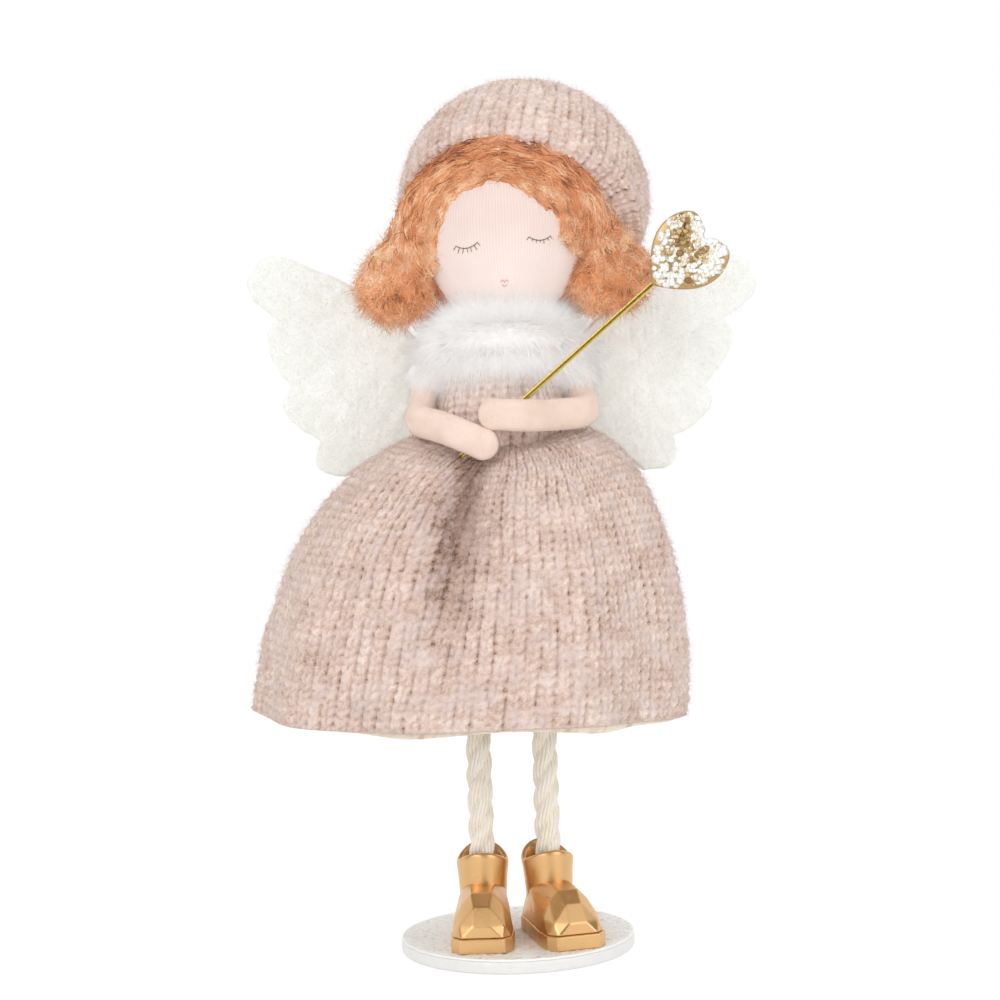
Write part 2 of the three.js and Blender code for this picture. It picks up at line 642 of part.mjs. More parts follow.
// Head: an egg that is fuller at the brow, with a jersey cover drawn down round the neck
function headRings(grow) {
  return Array.from({ length: FACETS.headRows }, (_, i) => {
    const lift = -cos((PI * (i + 0.5)) / FACETS.headRows);
    const round = sqrt(1 - lift * lift) * (1 + HEAD_FULLNESS * lift);
    const halfX = (HEAD_HALF_WIDTH + grow) * round;
    return ellipse(FACETS.head, halfX, (HEAD_HALF_DEPTH + grow) * round, (HEAD_HALF_HEIGHT + grow) * lift);
  });
}

const headSolid = (grow) => solid(loft(headRings(grow)));
const neckLow = BODICE_HEIGHT + 2 * SEAT_GAP - (headZ - waistZ);
const neckBar = (radius, low) => solid(bar(radius, low, 0, FACETS.dowel));

function headCore() {
  const inset = HEAD_COVER_WALL + SEAT_GAP;
  const boreEnd = DOWEL_IN_HEAD + SEAT_GAP - HEAD_HALF_HEIGHT;
  const bore = bar(dowelRadius + NECK_RUNNING_GAP, -2 * HEAD_HALF_HEIGHT, boreEnd, FACETS.dowel);
  return geometryOf(headSolid(-inset).subtract(solid(bore)));
}

function headCover() {
  const outer = headSolid(0).add(neckBar(NECK_RADIUS, neckLow));
  const inner = headSolid(-HEAD_COVER_WALL).add(neckBar(NECK_RADIUS - HEAD_COVER_WALL, 2 * neckLow));
  return geometryOf(outer.subtract(inner));
}

addPiece(head, "head_core", headCore(), FINISH.foam);
addPiece(head, "head_cover", headCover(), FINISH.jersey);

// Hair: a fringe arched over the face, a bunch at each side and a roll round the nape
const rolled = (p) => p.applyAxisAngle(point(0, 1, 0), degrees(-HEAD_ROLL));

function fringe(grow) {
  const steps = FACETS.fringeSteps;
  const stations = Array.from({ length: steps + 1 }, (_, i) => {
    const angle = blend(PI + degrees(FRINGE_END), -degrees(FRINGE_END), i / steps);
    const z = FRINGE_OFFSET + FRINGE_RISE * sin(angle);
    const at = rolled(point(FRINGE_HALF_WIDTH * cos(angle), -FRINGE_FORWARD - FRINGE_LEAN * z, z));
    const wave = 1 + FRINGE_WAVE_SHARE * sin(FRINGE_WAVES * angle);
    const halfSide = FRINGE_HALF_HEIGHT * wave + grow;
    return { at, side: at.clone().normalize(), halfSide, halfUp: FRINGE_HALF_THICKNESS * wave + grow };
  });
  return solid(sweep(stations, FACETS.strand));
}

function bunch({ at, half }, grow) {
  const rings = Array.from({ length: FACETS.bunchRows }, (_, i) => {
    const lift = -cos((PI * (i + 0.5)) / FACETS.bunchRows);
    return Array.from({ length: FACETS.bunch }, (_, k) => {
      const angle = (2 * PI * k) / FACETS.bunch;
      const lump = BUNCH_LUMP_DEPTH * sin(BUNCH_LUMPS * angle + i) + grow;
      const round = sqrt(1 - lift * lift) * (1 - BUNCH_FLARE * lift);
      const x = at[0] + (half[0] + lump) * round * cos(angle);
      const y = at[1] + (half[1] + lump) * round * sin(angle);
      return point(x, y, at[2] + (half[2] + grow) * lift);
    });
  });
  return solid(loft(rings));
}

function nape(grow) {
  const steps = FACETS.napeSteps;
  const stations = Array.from({ length: steps + 1 }, (_, i) => {
    const angle = PI * (1 - i / steps);
    const at = point(NAPE_HALF_WIDTH * cos(angle), NAPE_DEPTH * sin(angle), -NAPE_DROP);
    const side = point(cos(angle), sin(angle), 0);
    return { at, side, halfSide: NAPE_HALF_THICKNESS + grow, halfUp: NAPE_HALF_HEIGHT + grow };
  });
  return solid(sweep(stations, FACETS.strand));
}

const headRoom = headSolid(SEAT_GAP);
const fringeBody = fringe(0).subtract(headRoom);
const fringeRoom = fringe(SEAT_GAP);
const bunchBody = (size) => bunch(size, 0).subtract(headRoom).subtract(fringeRoom);
const bunchRoom = bunch(LEFT_BUNCH, SEAT_GAP).add(bunch(RIGHT_BUNCH, SEAT_GAP));
const napeBody = nape(0).subtract(headRoom).subtract(fringeRoom).subtract(bunchRoom);

addPiece(head, "hair_fringe", geometryOf(fringeBody), FINISH.gingerYarn);
addPiece(head, "hair_left", geometryOf(bunchBody(LEFT_BUNCH)), FINISH.gingerYarn);
addPiece(head, "hair_right", geometryOf(bunchBody(RIGHT_BUNCH)), FINISH.gingerYarn);
addPiece(head, "hair_back", geometryOf(napeBody), FINISH.gingerYarn);

// Beret: a puffed ball cut by the slanting plane of its rim, with a turned-in band, and its wadding
function beretBall(inset) {
  const rings = Array.from({ length: FACETS.beretRows }, (_, i) => {
    const lift = -cos((PI * (i + 0.5)) / FACETS.beretRows);
    const round = sqrt(1 - lift * lift);
    const halfX = (BERET_HALF_WIDTH - inset) * round;
    const z = BERET_AT[2] + (BERET_HALF_HEIGHT - inset) * lift;
    return ellipse(FACETS.beret, halfX, (BERET_HALF_DEPTH - inset) * round, z, BERET_AT[0], BERET_AT[1]);
  });
  return solid(loft(rings));
}

/** A block that fills everything in front of and below the rim's plane, moved up by a lift. */
function belowRim(lift) {
  const along = point(0, RIM_NAPE[0] - RIM_FRONT[0], RIM_NAPE[1] - RIM_FRONT[1]).normalize();
  const across = point(1, 0, -RIM_SIDE_SLOPE).normalize();
  const up = across.clone().cross(along).normalize();
  const size = 8 * BERET_HALF_WIDTH;
  const block = new THREE.BoxGeometry(size, size, size).translate(0, 0, -size / 2);
  block.applyMatrix4(new THREE.Matrix4().makeBasis(up.clone().cross(along).negate(), along, up));
  return solid(block.translate(0, RIM_FRONT[0] + lift * up.y, RIM_FRONT[1] + lift * up.z));
}

const hairRoom = fringeRoom.add(bunchRoom).add(nape(SEAT_GAP)).add(headRoom);

function beret() {
  const hollow = beretBall(BERET_WALL).subtract(belowRim(BERET_WALL));
  return beretBall(0).subtract(belowRim(0)).subtract(hollow).subtract(hairRoom);
}

function beretFilling() {
  return beretBall(BERET_WALL + SEAT_GAP).subtract(belowRim(BERET_WALL + SEAT_GAP)).subtract(hairRoom);
}

addPiece(head, "beret", geometryOf(beret()), FINISH.pinkKnit);
addPiece(head, "beret_filling", geometryOf(beretFilling()), FINISH.foam);

// Wand: a straight wire with a heart of stiff card on its end
const stemRadius = STEM_DIAMETER / 2;
const wandDirection = point(
  cos(degrees(WAND_LEAN)) * cos(degrees(WAND_RISE)),
  -sin(degrees(WAND_LEAN)),
  cos(degrees(WAND_LEAN)) * sin(degrees(WAND_RISE)),
);
const grip = point(GRIP_ACROSS, -(BODICE_HALF_DEPTH + STEM_STANDOFF + stemRadius), GRIP_HEIGHT);

/** How far forward the stem is at a place across the doll. */
function stemForward(across) {
  return -grip.y + (across - grip.x) * (tan(degrees(WAND_LEAN)) / cos(degrees(WAND_RISE)));
}

/** The heart's outline, its point at the origin and its lobes towards +X. */
function heartOutline() {
  const wide = HEART_HALF_WIDTH;
  const notch = HEART_LENGTH - HEART_NOTCH;
  const dip = notch + HEART_NOTCH / 2;
  const low = HEART_POINT_PULL[0] * HEART_SHOULDER;
  const lowOut = HEART_POINT_PULL[1] * HEART_LOBE;
  const high = HEART_SIDE_PULL * HEART_SHOULDER;
  const crest = HEART_CREST_PULL * HEART_LOBE;
  const outline = new THREE.Shape();
  outline.moveTo(0, 0);
  outline.bezierCurveTo(low, -lowOut, high, -wide, HEART_SHOULDER, -wide);
  outline.bezierCurveTo(notch, -wide, HEART_LENGTH, -crest, HEART_LENGTH, -HEART_LOBE);
  outline.bezierCurveTo(HEART_LENGTH, -HEART_LOBE / 2, dip, -HEART_LOBE / 8, notch, 0);
  outline.bezierCurveTo(dip, HEART_LOBE / 8, HEART_LENGTH, HEART_LOBE / 2, HEART_LENGTH, HEART_LOBE);
  outline.bezierCurveTo(HEART_LENGTH, crest, notch, wide, HEART_SHOULDER, wide);
  outline.bezierCurveTo(high, wide, low, lowOut, 0, 0);
  return outline;
}

function wandHeart() {
  const card = new THREE.ExtrudeGeometry(heartOutline(), {
    depth: HEART_THICKNESS - 2 * HEART_BEVEL,
    bevelThickness: HEART_BEVEL,
    bevelSize: HEART_BEVEL,
    bevelOffset: -HEART_BEVEL,
    bevelSegments: 1,
    curveSegments: FACETS.heartCurve,
  });
  card.translate(0, 0, HEART_BEVEL - HEART_THICKNESS / 2);
  const bore = bar(stemRadius + ROD_GAP, -STEM_IN_HEART, STEM_IN_HEART, FACETS.stem).rotateY(PI / 2);
  return geometryOf(solid(card).subtract(solid(bore)));
}

const wand = new THREE.Group();
const wandAcross = point(0, -1, 0).addScaledVector(wandDirection, wandDirection.y).normalize();
const wandSide = wandAcross.clone().cross(wandDirection);
wand.setRotationFromMatrix(new THREE.Matrix4().makeBasis(wandDirection, wandSide, wandAcross));
wand.position.copy(grip).addScaledVector(wandDirection, STEM_LENGTH - STEM_BELOW_GRIP);
const stem = bar(stemRadius, -STEM_LENGTH, STEM_IN_HEART - SEAT_GAP, FACETS.stem).rotateY(PI / 2);
addPiece(wand, "wand_stem", stem, FINISH.brass);
addPiece(wand, "wand_heart", wandHeart(), FINISH.goldGlitter);
figure.add(wand);

// Arms: flat stuffed tubes that hang at the bodice's side and cross in front of the wand
function armPath(arm, side) {
  const out = BODICE_HALF_WIDTH + SEAT_GAP + ARM_HALF_THICKNESS;
  const handForward = (across) => stemForward(across) + stemRadius + SEAT_GAP + HAND_HALF_THICKNESS;
  return new THREE.CatmullRomCurve3([
    point(side * out, -SHOULDER_FORWARD, SHOULDER_END_HEIGHT),
    point(side * (out + arm.upper.out), -arm.upper.forward, arm.upper.height),
    point(arm.elbow.across, -arm.elbow.forward, arm.elbow.height),
    point(arm.forearm.across, -arm.forearm.forward, arm.forearm.height),
    ...arm.hand.map(({ across, height }) => point(across, -handForward(across), height)),
  ]);
}

function armGeometry(arm, side) {
  const path = armPath(arm, side);
  const length = path.getLength();
  const steps = FACETS.armSteps;
  const stations = Array.from({ length: steps + 1 }, (_, i) => {
    const share = (1 - cos((PI * i) / steps)) / 2;
    const at = path.getPointAt(share);
    const fromEnd = min(share, 1 - share) * length;
    const round = sqrt(max(ARM_END_FLAT, 1 - max(0, 1 - fromEnd / ARM_END_ROUND) ** 2));
    const outward = point(at.x / BODICE_HALF_WIDTH, at.y / BODICE_HALF_DEPTH, 0).normalize();
    const thinned = THREE.MathUtils.smoothstep(share, ...WRIST_SHARES);
    const thickness = blend(ARM_HALF_THICKNESS, HAND_HALF_THICKNESS, thinned);
    return { at, side: outward, halfSide: thickness * round, halfUp: ARM_HALF_HEIGHT * round };
  });
  return sweep(stations, FACETS.arm);
}

addPiece(figure, "left_arm", armGeometry(LEFT_ARM, 1), FINISH.peachFelt);
addPiece(figure, "right_arm", armGeometry(RIGHT_ARM, -1), FINISH.peachFelt);

// Wings: scalloped plush with stiff felt behind, each swung back from its root
function wingOutline(side, sewn, scale) {
  const tip = WING_TOP_EDGE.at(-1);
  const middle = [(WING_ROOT + tip[0]) / 2, (WING_ROOT_LOW + tip[1]) / 2];
  const pivot = new THREE.Vector2(WING_ROOT, (WING_ROOT_LOW + WING_ROOT_HIGH) / 2);
  const shift = new THREE.Vector2(-sewn.inset, sewn.height);
  /** A point of the outline, moved as the wing is sewn on by a share of the way. */
  const place = ([out, up], share) => {
    const cut = new THREE.Vector2(blend(middle[0], out, scale), blend(middle[1], up, scale));
    const hung = cut.clone().rotateAround(pivot, -degrees(sewn.turn)).add(shift);
    const at = cut.lerp(hung, share);
    return new THREE.Vector2(side * (at.x - WING_HINGE), at.y);
  };
  const outline = new THREE.Shape();
  const low = place([WING_ROOT, WING_ROOT_LOW], 0);
  const high = place([WING_ROOT, WING_ROOT_HIGH], 0);
  outline.moveTo(low.x, low.y);
  outline.lineTo(high.x, high.y);
  outline.splineThru(WING_TOP_EDGE.map((p, i) => place(p, i / (WING_TOP_EDGE.length - 1))));
  let from = place(tip, 1);
  for (const { over, to } of WING_SCALLOPS) {
    const end = place(to, 1);
    const handle = place(over, 1).multiplyScalar(2).sub(from.add(end).divideScalar(2));
    outline.quadraticCurveTo(handle.x, handle.y, end.x, end.y);
    from = end;
  }
  const lower = place(WING_LOWER_EDGE, 1 / 2);
  outline.lineTo(lower.x, lower.y);
  return outline;
}

function wingLayer(side, sewn, scale, front, thickness, round) {
  const layer = new THREE.ExtrudeGeometry(wingOutline(side, sewn, scale), {
    depth: thickness - 2 * round,
    bevelEnabled: round > 0,
    bevelThickness: round,
    bevelSize: round,
    bevelOffset: -round,
    bevelSegments: 1,
    curveSegments: FACETS.wingCurve,
  });
  layer.rotateX(PI / 2);
  layer.translate(0, front + thickness - round, 0);
  return layer;
}

const wingFront = BODICE_HALF_DEPTH + WING_ROOT_GAP;
for (const [name, side, sewn] of [["left", 1, LEFT_WING], ["right", -1, RIGHT_WING]]) {
  const wing = new THREE.Group();
  const hinge = wingFront + WING_PLUSH / 2;
  wing.position.set(side * WING_HINGE, hinge, 0);
  wing.rotation.z = side * degrees(WING_SWEEP);
  const plush = wingLayer(side, sewn, 1, wingFront - hinge, WING_PLUSH, WING_PLUSH_ROUND);
  const backFront = wingFront - hinge + WING_PLUSH + SEAT_GAP;
  const backing = wingLayer(side, sewn, WING_BACKING_INSET, backFront, WING_BACKING, 0);
  addPiece(wing, `${name}_wing`, plush, FINISH.whiteFur);
  addPiece(wing, `${name}_wing_backing`, backing, FINISH.creamFelt);
  figure.add(wing);
}

export default doll;
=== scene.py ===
# %% [markdown]
# # A knitted fairy doll
# The doll stands on a round base: rope legs in gold boots, a bell skirt and a beret of brushed knitting, a
# jersey head with yarn hair, felt arms that hold a heart wand, a fur collar and plush wings.
# The frame holds the plain solids and their joints. This lesson dresses them, piece by piece.

import bmesh
import bpy
import numpy as np
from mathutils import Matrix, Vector


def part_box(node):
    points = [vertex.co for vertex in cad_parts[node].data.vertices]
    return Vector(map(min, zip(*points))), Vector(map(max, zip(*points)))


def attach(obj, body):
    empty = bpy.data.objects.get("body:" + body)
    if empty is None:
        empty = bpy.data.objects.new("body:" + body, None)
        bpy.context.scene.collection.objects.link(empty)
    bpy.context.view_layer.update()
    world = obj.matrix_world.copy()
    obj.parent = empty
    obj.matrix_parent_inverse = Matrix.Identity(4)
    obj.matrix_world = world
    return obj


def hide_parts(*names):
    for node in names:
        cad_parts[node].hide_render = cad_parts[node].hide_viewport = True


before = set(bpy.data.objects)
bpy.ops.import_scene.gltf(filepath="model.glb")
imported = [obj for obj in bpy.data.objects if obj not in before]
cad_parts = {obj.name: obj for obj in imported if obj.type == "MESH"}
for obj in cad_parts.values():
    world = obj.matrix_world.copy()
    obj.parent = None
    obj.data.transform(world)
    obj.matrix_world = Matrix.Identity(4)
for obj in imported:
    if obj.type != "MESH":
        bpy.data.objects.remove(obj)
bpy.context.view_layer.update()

# %% [markdown]
# ## Helpers
# Sizes are written in millimetres, as a maker would measure them, and become metres in one place.
# A part is five arrays: points, four-cornered faces, three-cornered faces, and for each point a tone and a
# direction that it is lit from. The tone is a number from 0, dark, to 1, light, that the finishes read, so
# colour follows the shape. Fibres are lit as the surface under them. Other parts store no direction.

# %% Vectors and smooth random heights
MM = 0.001


def unit(vectors):
    """Each vector divided by its length."""
    return vectors / np.maximum(np.linalg.norm(vectors, axis=-1, keepdims=True), 1e-9)


def dot(a, b):
    """The scalar product of vectors, kept as a column."""
    return (a * b).sum(-1, keepdims=True)


def join_xyz(x, y, z):
    """Points from three arrays that broadcast together."""
    return np.stack(np.broadcast_arrays(x, y, z), axis=-1).astype(float)


def ease(value, low, high):
    """0 below low, 1 above high, and a smooth step between."""
    share = np.clip((value - low) / (high - low), 0, 1)
    return share * share * (3 - 2 * share)


def turned(x, y, angle):
    """A flat place turned about the origin: x·cos - y·sin and x·sin + y·cos."""
    return x * np.cos(angle) - y * np.sin(angle), x * np.sin(angle) + y * np.cos(angle)


def ring_angles(count):
    """Angles once round, from +X towards +Y."""
    return 2 * np.pi * np.arange(count) / count


def lengths_along(points):
    """The distance from a line's first point to each of its points."""
    return np.concatenate([[0], np.cumsum(np.linalg.norm(np.diff(points, axis=0), axis=1))])


LATTICE = 32


def lumps(points, size, seed):
    """Smooth heights from -1 to 1: random numbers on a lattice of that cell size, blended in each cell."""
    table = np.random.default_rng(seed).uniform(-1, 1, (LATTICE,) * 3)
    cell = np.floor(points / size).astype(int)
    share = points / size - cell
    share = share * share * (3 - 2 * share)
    height = np.zeros(points.shape[:-1])
    for corner in np.ndindex(2, 2, 2):
        weight = np.where(np.array(corner), share, 1 - share).prod(-1)
        x, y, z = np.moveaxis((cell + corner) % LATTICE, -1, 0)
        height += weight * table[x, y, z]
    return height


def box_mm(node):
    """Lowest and highest corner of a frame node, in millimetres."""
    low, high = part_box(node)
    return np.array(low) / MM, np.array(high) / MM


print("base spans", box_mm("base_disc")[0].round(2), box_mm("base_disc")[1].round(2))

# %% [markdown]
# A skin is a grid of rings, wrapped round and closed at both ends. A loop is a skin whose last ring meets its
# first, as on a hollow shell. Tubes are many thin skins at once, one for each path, and they make every
# fibre, curl and cord of the doll. All faces are turned outwards by the sign of the enclosed volume.


# %% Skins and loops
def turned_out(points, quads, tris):
    """Faces turned so that a sixth of the sum of a·(b×c) over the triangles, the volume, is positive."""
    halves = np.concatenate([quads[:, :3], quads[:, [0, 2, 3]], tris])
    middle = points.mean(0)
    a, b, c = (points[halves[:, corner]] - middle for corner in range(3))
    if (a * np.cross(b, c)).sum() < 0:
        return quads[:, ::-1], tris[:, ::-1]
    return quads, tris


def grid_quads(rows, columns, closed):
    """Faces between neighbouring rings of a grid that wraps round its columns, and its rows too if closed."""
    row, column = np.meshgrid(np.arange(rows if closed else rows - 1), np.arange(columns), indexing="ij")
    here = row * columns
    below = (row + 1) % rows * columns
    beside = (column + 1) % columns
    corners = [here + column, here + beside, below + beside, below + column]
    return np.stack(corners, axis=-1).reshape(-1, 4)


def end_fans(first_tip, first_ring, last_tip, last_ring, columns):
    """Triangles between a tip and its ring of points, at both ends of a skin, turned the same way."""
    turn = np.arange(columns)
    after = (turn + 1) % columns
    first = np.stack([turn * 0 + first_tip, first_ring + after, first_ring + turn], axis=-1)
    last = np.stack([turn * 0 + last_tip, last_ring + turn, last_ring + after], axis=-1)
    return np.concatenate([first, last])


def skin(rings, tone):
    """A closed skin over rings (rows, columns, 3), its end rings joined to their own middles."""
    rows, columns = rings.shape[:2]
    size = rows * columns
    points = np.concatenate([rings.reshape(-1, 3), rings[:1].mean(1), rings[-1:].mean(1)])
    tone = np.broadcast_to(tone, rings.shape[:2])
    tones = np.concatenate([tone.ravel(), [tone[0].mean(), tone[-1].mean()]])
    quads = grid_quads(rows, columns, False)
    tris = end_fans(size, 0, size + 1, size - columns, columns)
    return points, *turned_out(points, quads, tris), tones, np.zeros_like(points)


def loop(rings, tone):
    """A hollow shell or ring: a skin whose last ring meets its first."""
    points = rings.reshape(-1, 3)
    quads = grid_quads(*rings.shape[:2], True)
    tones = np.broadcast_to(tone, rings.shape[:2]).ravel()
    return points, *turned_out(points, quads, np.zeros((0, 3), int)), tones, np.zeros_like(points)


print("a grid of 4 rings and 6 columns has", len(grid_quads(4, 6, False)), "faces")


# %% Tubes
def tubes(paths, radii, sides, tone, lit=0.0):
    """Closed tubes along paths (count, steps, 3). A path's ends are the tips, and each point between them
    carries a circle of its radius, square to the path. The circle's start is carried along without twist. The
    tone may change along a tube, and each tube may have a direction that it is lit from."""
    count, steps = paths.shape[:2]
    ahead = unit(paths[:, 2:] - paths[:, :-2])
    upright = np.abs(ahead[:, 0, 2:]) > 0.8
    side = np.empty_like(ahead)
    side[:, 0] = unit(np.cross(ahead[:, 0], np.where(upright, [1.0, 0, 0], [0, 0, 1.0])))
    for step in range(1, steps - 2):
        carried = side[:, step - 1]
        side[:, step] = unit(carried - dot(carried, ahead[:, step]) * ahead[:, step])
    up = np.cross(ahead, side)
    angle = ring_angles(sides)[:, None]
    circle = side[:, :, None] * np.cos(angle) + up[:, :, None] * np.sin(angle)
    rings = paths[:, 1:-1, None] + np.broadcast_to(radii, (count, steps - 2))[:, :, None, None] * circle
    points = np.concatenate([paths[:, :1], rings.reshape(count, -1, 3), paths[:, -1:]], axis=1)
    size = points.shape[1]
    quads = 1 + grid_quads(steps - 2, sides, False)
    tips = end_fans(0, 1, size - 1, size - 1 - sides, sides)
    start = (np.arange(count) * size)[:, None, None]
    points = points.reshape(-1, 3)
    faces = turned_out(points, (quads + start).reshape(-1, 4), (tips + start).reshape(-1, 3))
    lit = np.repeat(np.broadcast_to(lit, (count, 3)), size, axis=0)
    tone = np.broadcast_to(tone, (count, steps))
    tones = np.concatenate([tone[:, :1], np.repeat(tone[:, 1:-1], sides, axis=1), tone[:, -1:]], axis=1)
    return points, *faces, tones.ravel(), lit


straight = np.linspace([0, 0, 0], [0, 0, 3.0], 4)[None]
print("a tube through 4 points with 3 sides has", len(tubes(straight, 0.1, 3, 0.5)[0]), "points")


# %% Pieces from parts
def new_object(name, data):
    """An object at the origin, linked to the scene."""
    made = bpy.data.objects.new(name, data)
    bpy.context.scene.collection.objects.link(made)
    return made


def put_piece(name, body, finish, parts, replaces=(), airy=False, slot=None):
    """Joins parts into one smooth mesh object at the origin, and hangs it on its body of the frame. A slot
    name is worked out, the finish's name without the number that Blender adds where the frame has that name
    too, unless another is given, but nothing uses it. Light passes through an airy piece, such as fuzz, as it
    does through fibres much finer than these."""
    offsets = np.cumsum([0] + [len(part[0]) for part in parts[:-1]])
    points = np.concatenate([part[0] for part in parts]) * MM
    quads = np.concatenate([part[1] + offset for part, offset in zip(parts, offsets)])
    tris = np.concatenate([part[2] + offset for part, offset in zip(parts, offsets)])
    tones = np.concatenate([part[3] for part in parts])
    lit = np.concatenate([part[4] for part in parts])
    corners = np.concatenate([quads.ravel(), tris.ravel()])
    starts = np.concatenate([np.arange(len(quads)) * 4, len(quads) * 4 + np.arange(len(tris)) * 3])
    mesh = bpy.data.meshes.new(name)
    mesh.vertices.add(len(points))
    mesh.vertices.foreach_set("co", points.astype(np.float32).ravel())
    mesh.loops.add(len(corners))
    mesh.loops.foreach_set("vertex_index", corners.astype(np.int32))
    mesh.polygons.add(len(starts))
    mesh.polygons.foreach_set("loop_start", starts.astype(np.int32))
    mesh.polygons.foreach_set("use_smooth", np.ones(len(starts), bool))
    mesh.update(calc_edges=True)
    mesh.validate()
    layer = mesh.attributes.new("tone", "FLOAT", "POINT")
    layer.data.foreach_set("value", tones.astype(np.float32))
    layer = mesh.attributes.new("lit", "FLOAT_VECTOR", "POINT")
    layer.data.foreach_set("vector", lit.astype(np.float32).ravel())
    mesh.materials.append(finish)
    piece = new_object(name, mesh)
    slot = slot or finish.name.split(".")[0]
    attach(piece, body)
    if replaces:
        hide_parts(*replaces)
    piece.visible_shadow = not airy
    piece.visible_diffuse = not airy
    print(f"{name}: {2 * len(quads) + len(tris)} triangles")
    return piece


# %% [markdown]
# Brushed yarn, fur and plush all need loose fibres. Roots are scattered over a grid of points so that equal
# areas get equal numbers, and each fibre is a thin tube that leaves its root at a slant and bends.


# %% Fibres over a surface
def grid_facing(rings):
    """Outward directions of a wrapped grid: across the columns times down the rows, away from the middle."""
    across = np.roll(rings, -1, axis=1) - np.roll(rings, 1, axis=1)
    down = np.gradient(rings, axis=0)
    facing = unit(np.cross(across, down))
    away = rings - rings.reshape(-1, 3).mean(0)
    return facing * np.sign((facing * away).sum())


def scatter(rings, facing, count, rng):
    """Points over a wrapped grid, chosen cell by cell in proportion to area, with their directions."""
    beside = np.roll(rings, -1, axis=1)
    area = np.linalg.norm(np.cross(beside[:-1] - rings[:-1], rings[1:] - rings[:-1]), axis=-1)
    cell = rng.choice(area.size, count, p=area.ravel() / area.sum())
    row, column = np.unravel_index(cell, area.shape)
    s, t = rng.random((2, count, 1))
    near = rings[row, column] * (1 - s) + beside[row, column] * s
    far = rings[row + 1, column] * (1 - s) + beside[row + 1, column] * s
    return near * (1 - t) + far * t, facing[row, column]


def fibres(
    roots, facing, rng, *, length, lift, bend, radius, tone, pull=(0, 0, 0), sink=0.2, knots=3, lit=None
):
    """Fibres p(s) = root + length·(s·start + s²·(bend·sway + pull)), at a few knots of s. The start lies
    between the surface and its outward direction by lift, and sway is a random direction square to it.
    Lengths, lifts and tones are drawn between two ends. The roots sink into the surface. Fibres are lit from
    outside, or from the lit directions if given."""
    count = len(roots)
    loose = rng.normal(size=(count, 3))
    flat = unit(loose - dot(loose, facing) * facing)
    rise = rng.uniform(*lift, (count, 1))
    start = unit(facing * rise + flat * (1 - rise))
    sway = unit(np.cross(start, rng.normal(size=(count, 3))))
    share = np.linspace(0, 1, knots)[:, None]
    curve = share * start[:, None] + share**2 * (bend * sway[:, None] + np.array(pull))
    paths = roots[:, None] + rng.uniform(*length, (count, 1, 1)) * curve
    paths[:, 0] -= sink * facing
    radii = radius * rng.uniform(0.7, 1.2, (count, 1)) * (1.2 - 0.6 * share[1:-1, 0])
    return tubes(paths, radii, 3, rng.uniform(*tone, (count, 1)), facing if lit is None else lit)


print("a fibre has", len(tubes(straight[:, :3], 0.1, 3, 0.5)[2]), "triangles")

# %% [markdown]
# ## Finishes
# Every fabric of the doll is matt and fibrous, so one recipe serves them all: a colour ramp that the stored
# tone runs along, a little noise so that no patch is even, a second colour that drifts in and out, a fine
# bump, and a sheen for the fuzz. Paint, wire and glitter have recipes of their own below.


# %% Colours and nodes
def colour(red, green, blue):
    """A screen colour, 0 to 255, as the linear colour that a shader takes."""
    share = np.array([red, green, blue]) / 255
    linear = np.where(share <= 0.04045, share / 12.92, ((share + 0.055) / 1.055) ** 2.4)
    return (*linear.tolist(), 1.0)


def add_node(tree, kind, inputs, **settings):
    """A shader node with its settings, whose inputs are numbers, colours or other nodes' outputs."""
    made = tree.nodes.new("ShaderNode" + kind)
    for key, value in settings.items():
        setattr(made, key, value)
    for key, value in inputs.items():
        if isinstance(value, bpy.types.NodeSocket):
            tree.links.new(value, made.inputs[key])
        else:
            made.inputs[key].default_value = value
    return made


def new_finish(name, roughness, metallic=0.0, sheen=0.0):
    """A material with its shader's plain numbers set on the shader itself."""
    finish = bpy.data.materials.new(name)
    finish.use_nodes = True
    shader = finish.node_tree.nodes["Principled BSDF"]
    shader.inputs["Roughness"].default_value = roughness
    shader.inputs["Metallic"].default_value = metallic
    shader.inputs["Sheen Weight"].default_value = sheen
    shader.inputs["Sheen Roughness"].default_value = 0.5
    return finish, finish.node_tree, shader


def object_place(tree):
    """The surface's place in object space."""
    return add_node(tree, "TexCoord", {}).outputs["Object"]


def object_noise(tree, size, detail=2.0):
    """Noise in object space, from 0 to 1, whose features are about that many millimetres across."""
    inputs = {"Vector": object_place(tree), "Scale": 1 / (size * MM), "Detail": detail}
    return add_node(tree, "TexNoise", inputs).outputs["Fac"]


def calculate(tree, operation, *values):
    """The result of a Math node."""
    return add_node(tree, "Math", dict(enumerate(values)), operation=operation).outputs[0]


def spread(tree, value, low, high, to_low, to_high):
    """A value's range from low to high, stretched to another range and held at its ends."""
    inputs = {"Value": value, "From Min": low, "From Max": high, "To Min": to_low, "To Max": to_high}
    return add_node(tree, "MapRange", inputs).outputs["Result"]


def mix_colours(tree, amount, first, second):
    """Two colours mixed by an amount. Sockets 6 and 7 are the node's colours A and B."""
    return add_node(tree, "Mix", {0: amount, 6: first, 7: second}, data_type="RGBA").outputs[2]


print("half grey on a screen is", round(colour(128, 128, 128)[0], 3), "of white light")

# %% Tones, bumps and the light on fibres
FIBRE_LIT = 0.25  # how far a fibre's own normal gives way to its stored direction


def tone_ramp(tree, value, stops):
    """A colour ramp through (place, colour) stops."""
    ramp = add_node(tree, "ValToRGB", {"Fac": value})
    ends = ramp.color_ramp.elements
    ends[0].position, ends[0].color = stops[0]
    ends[1].position, ends[1].color = stops[-1]
    for place, shade in stops[1:-1]:
        ends.new(place).color = shade
    return ramp.outputs["Color"]


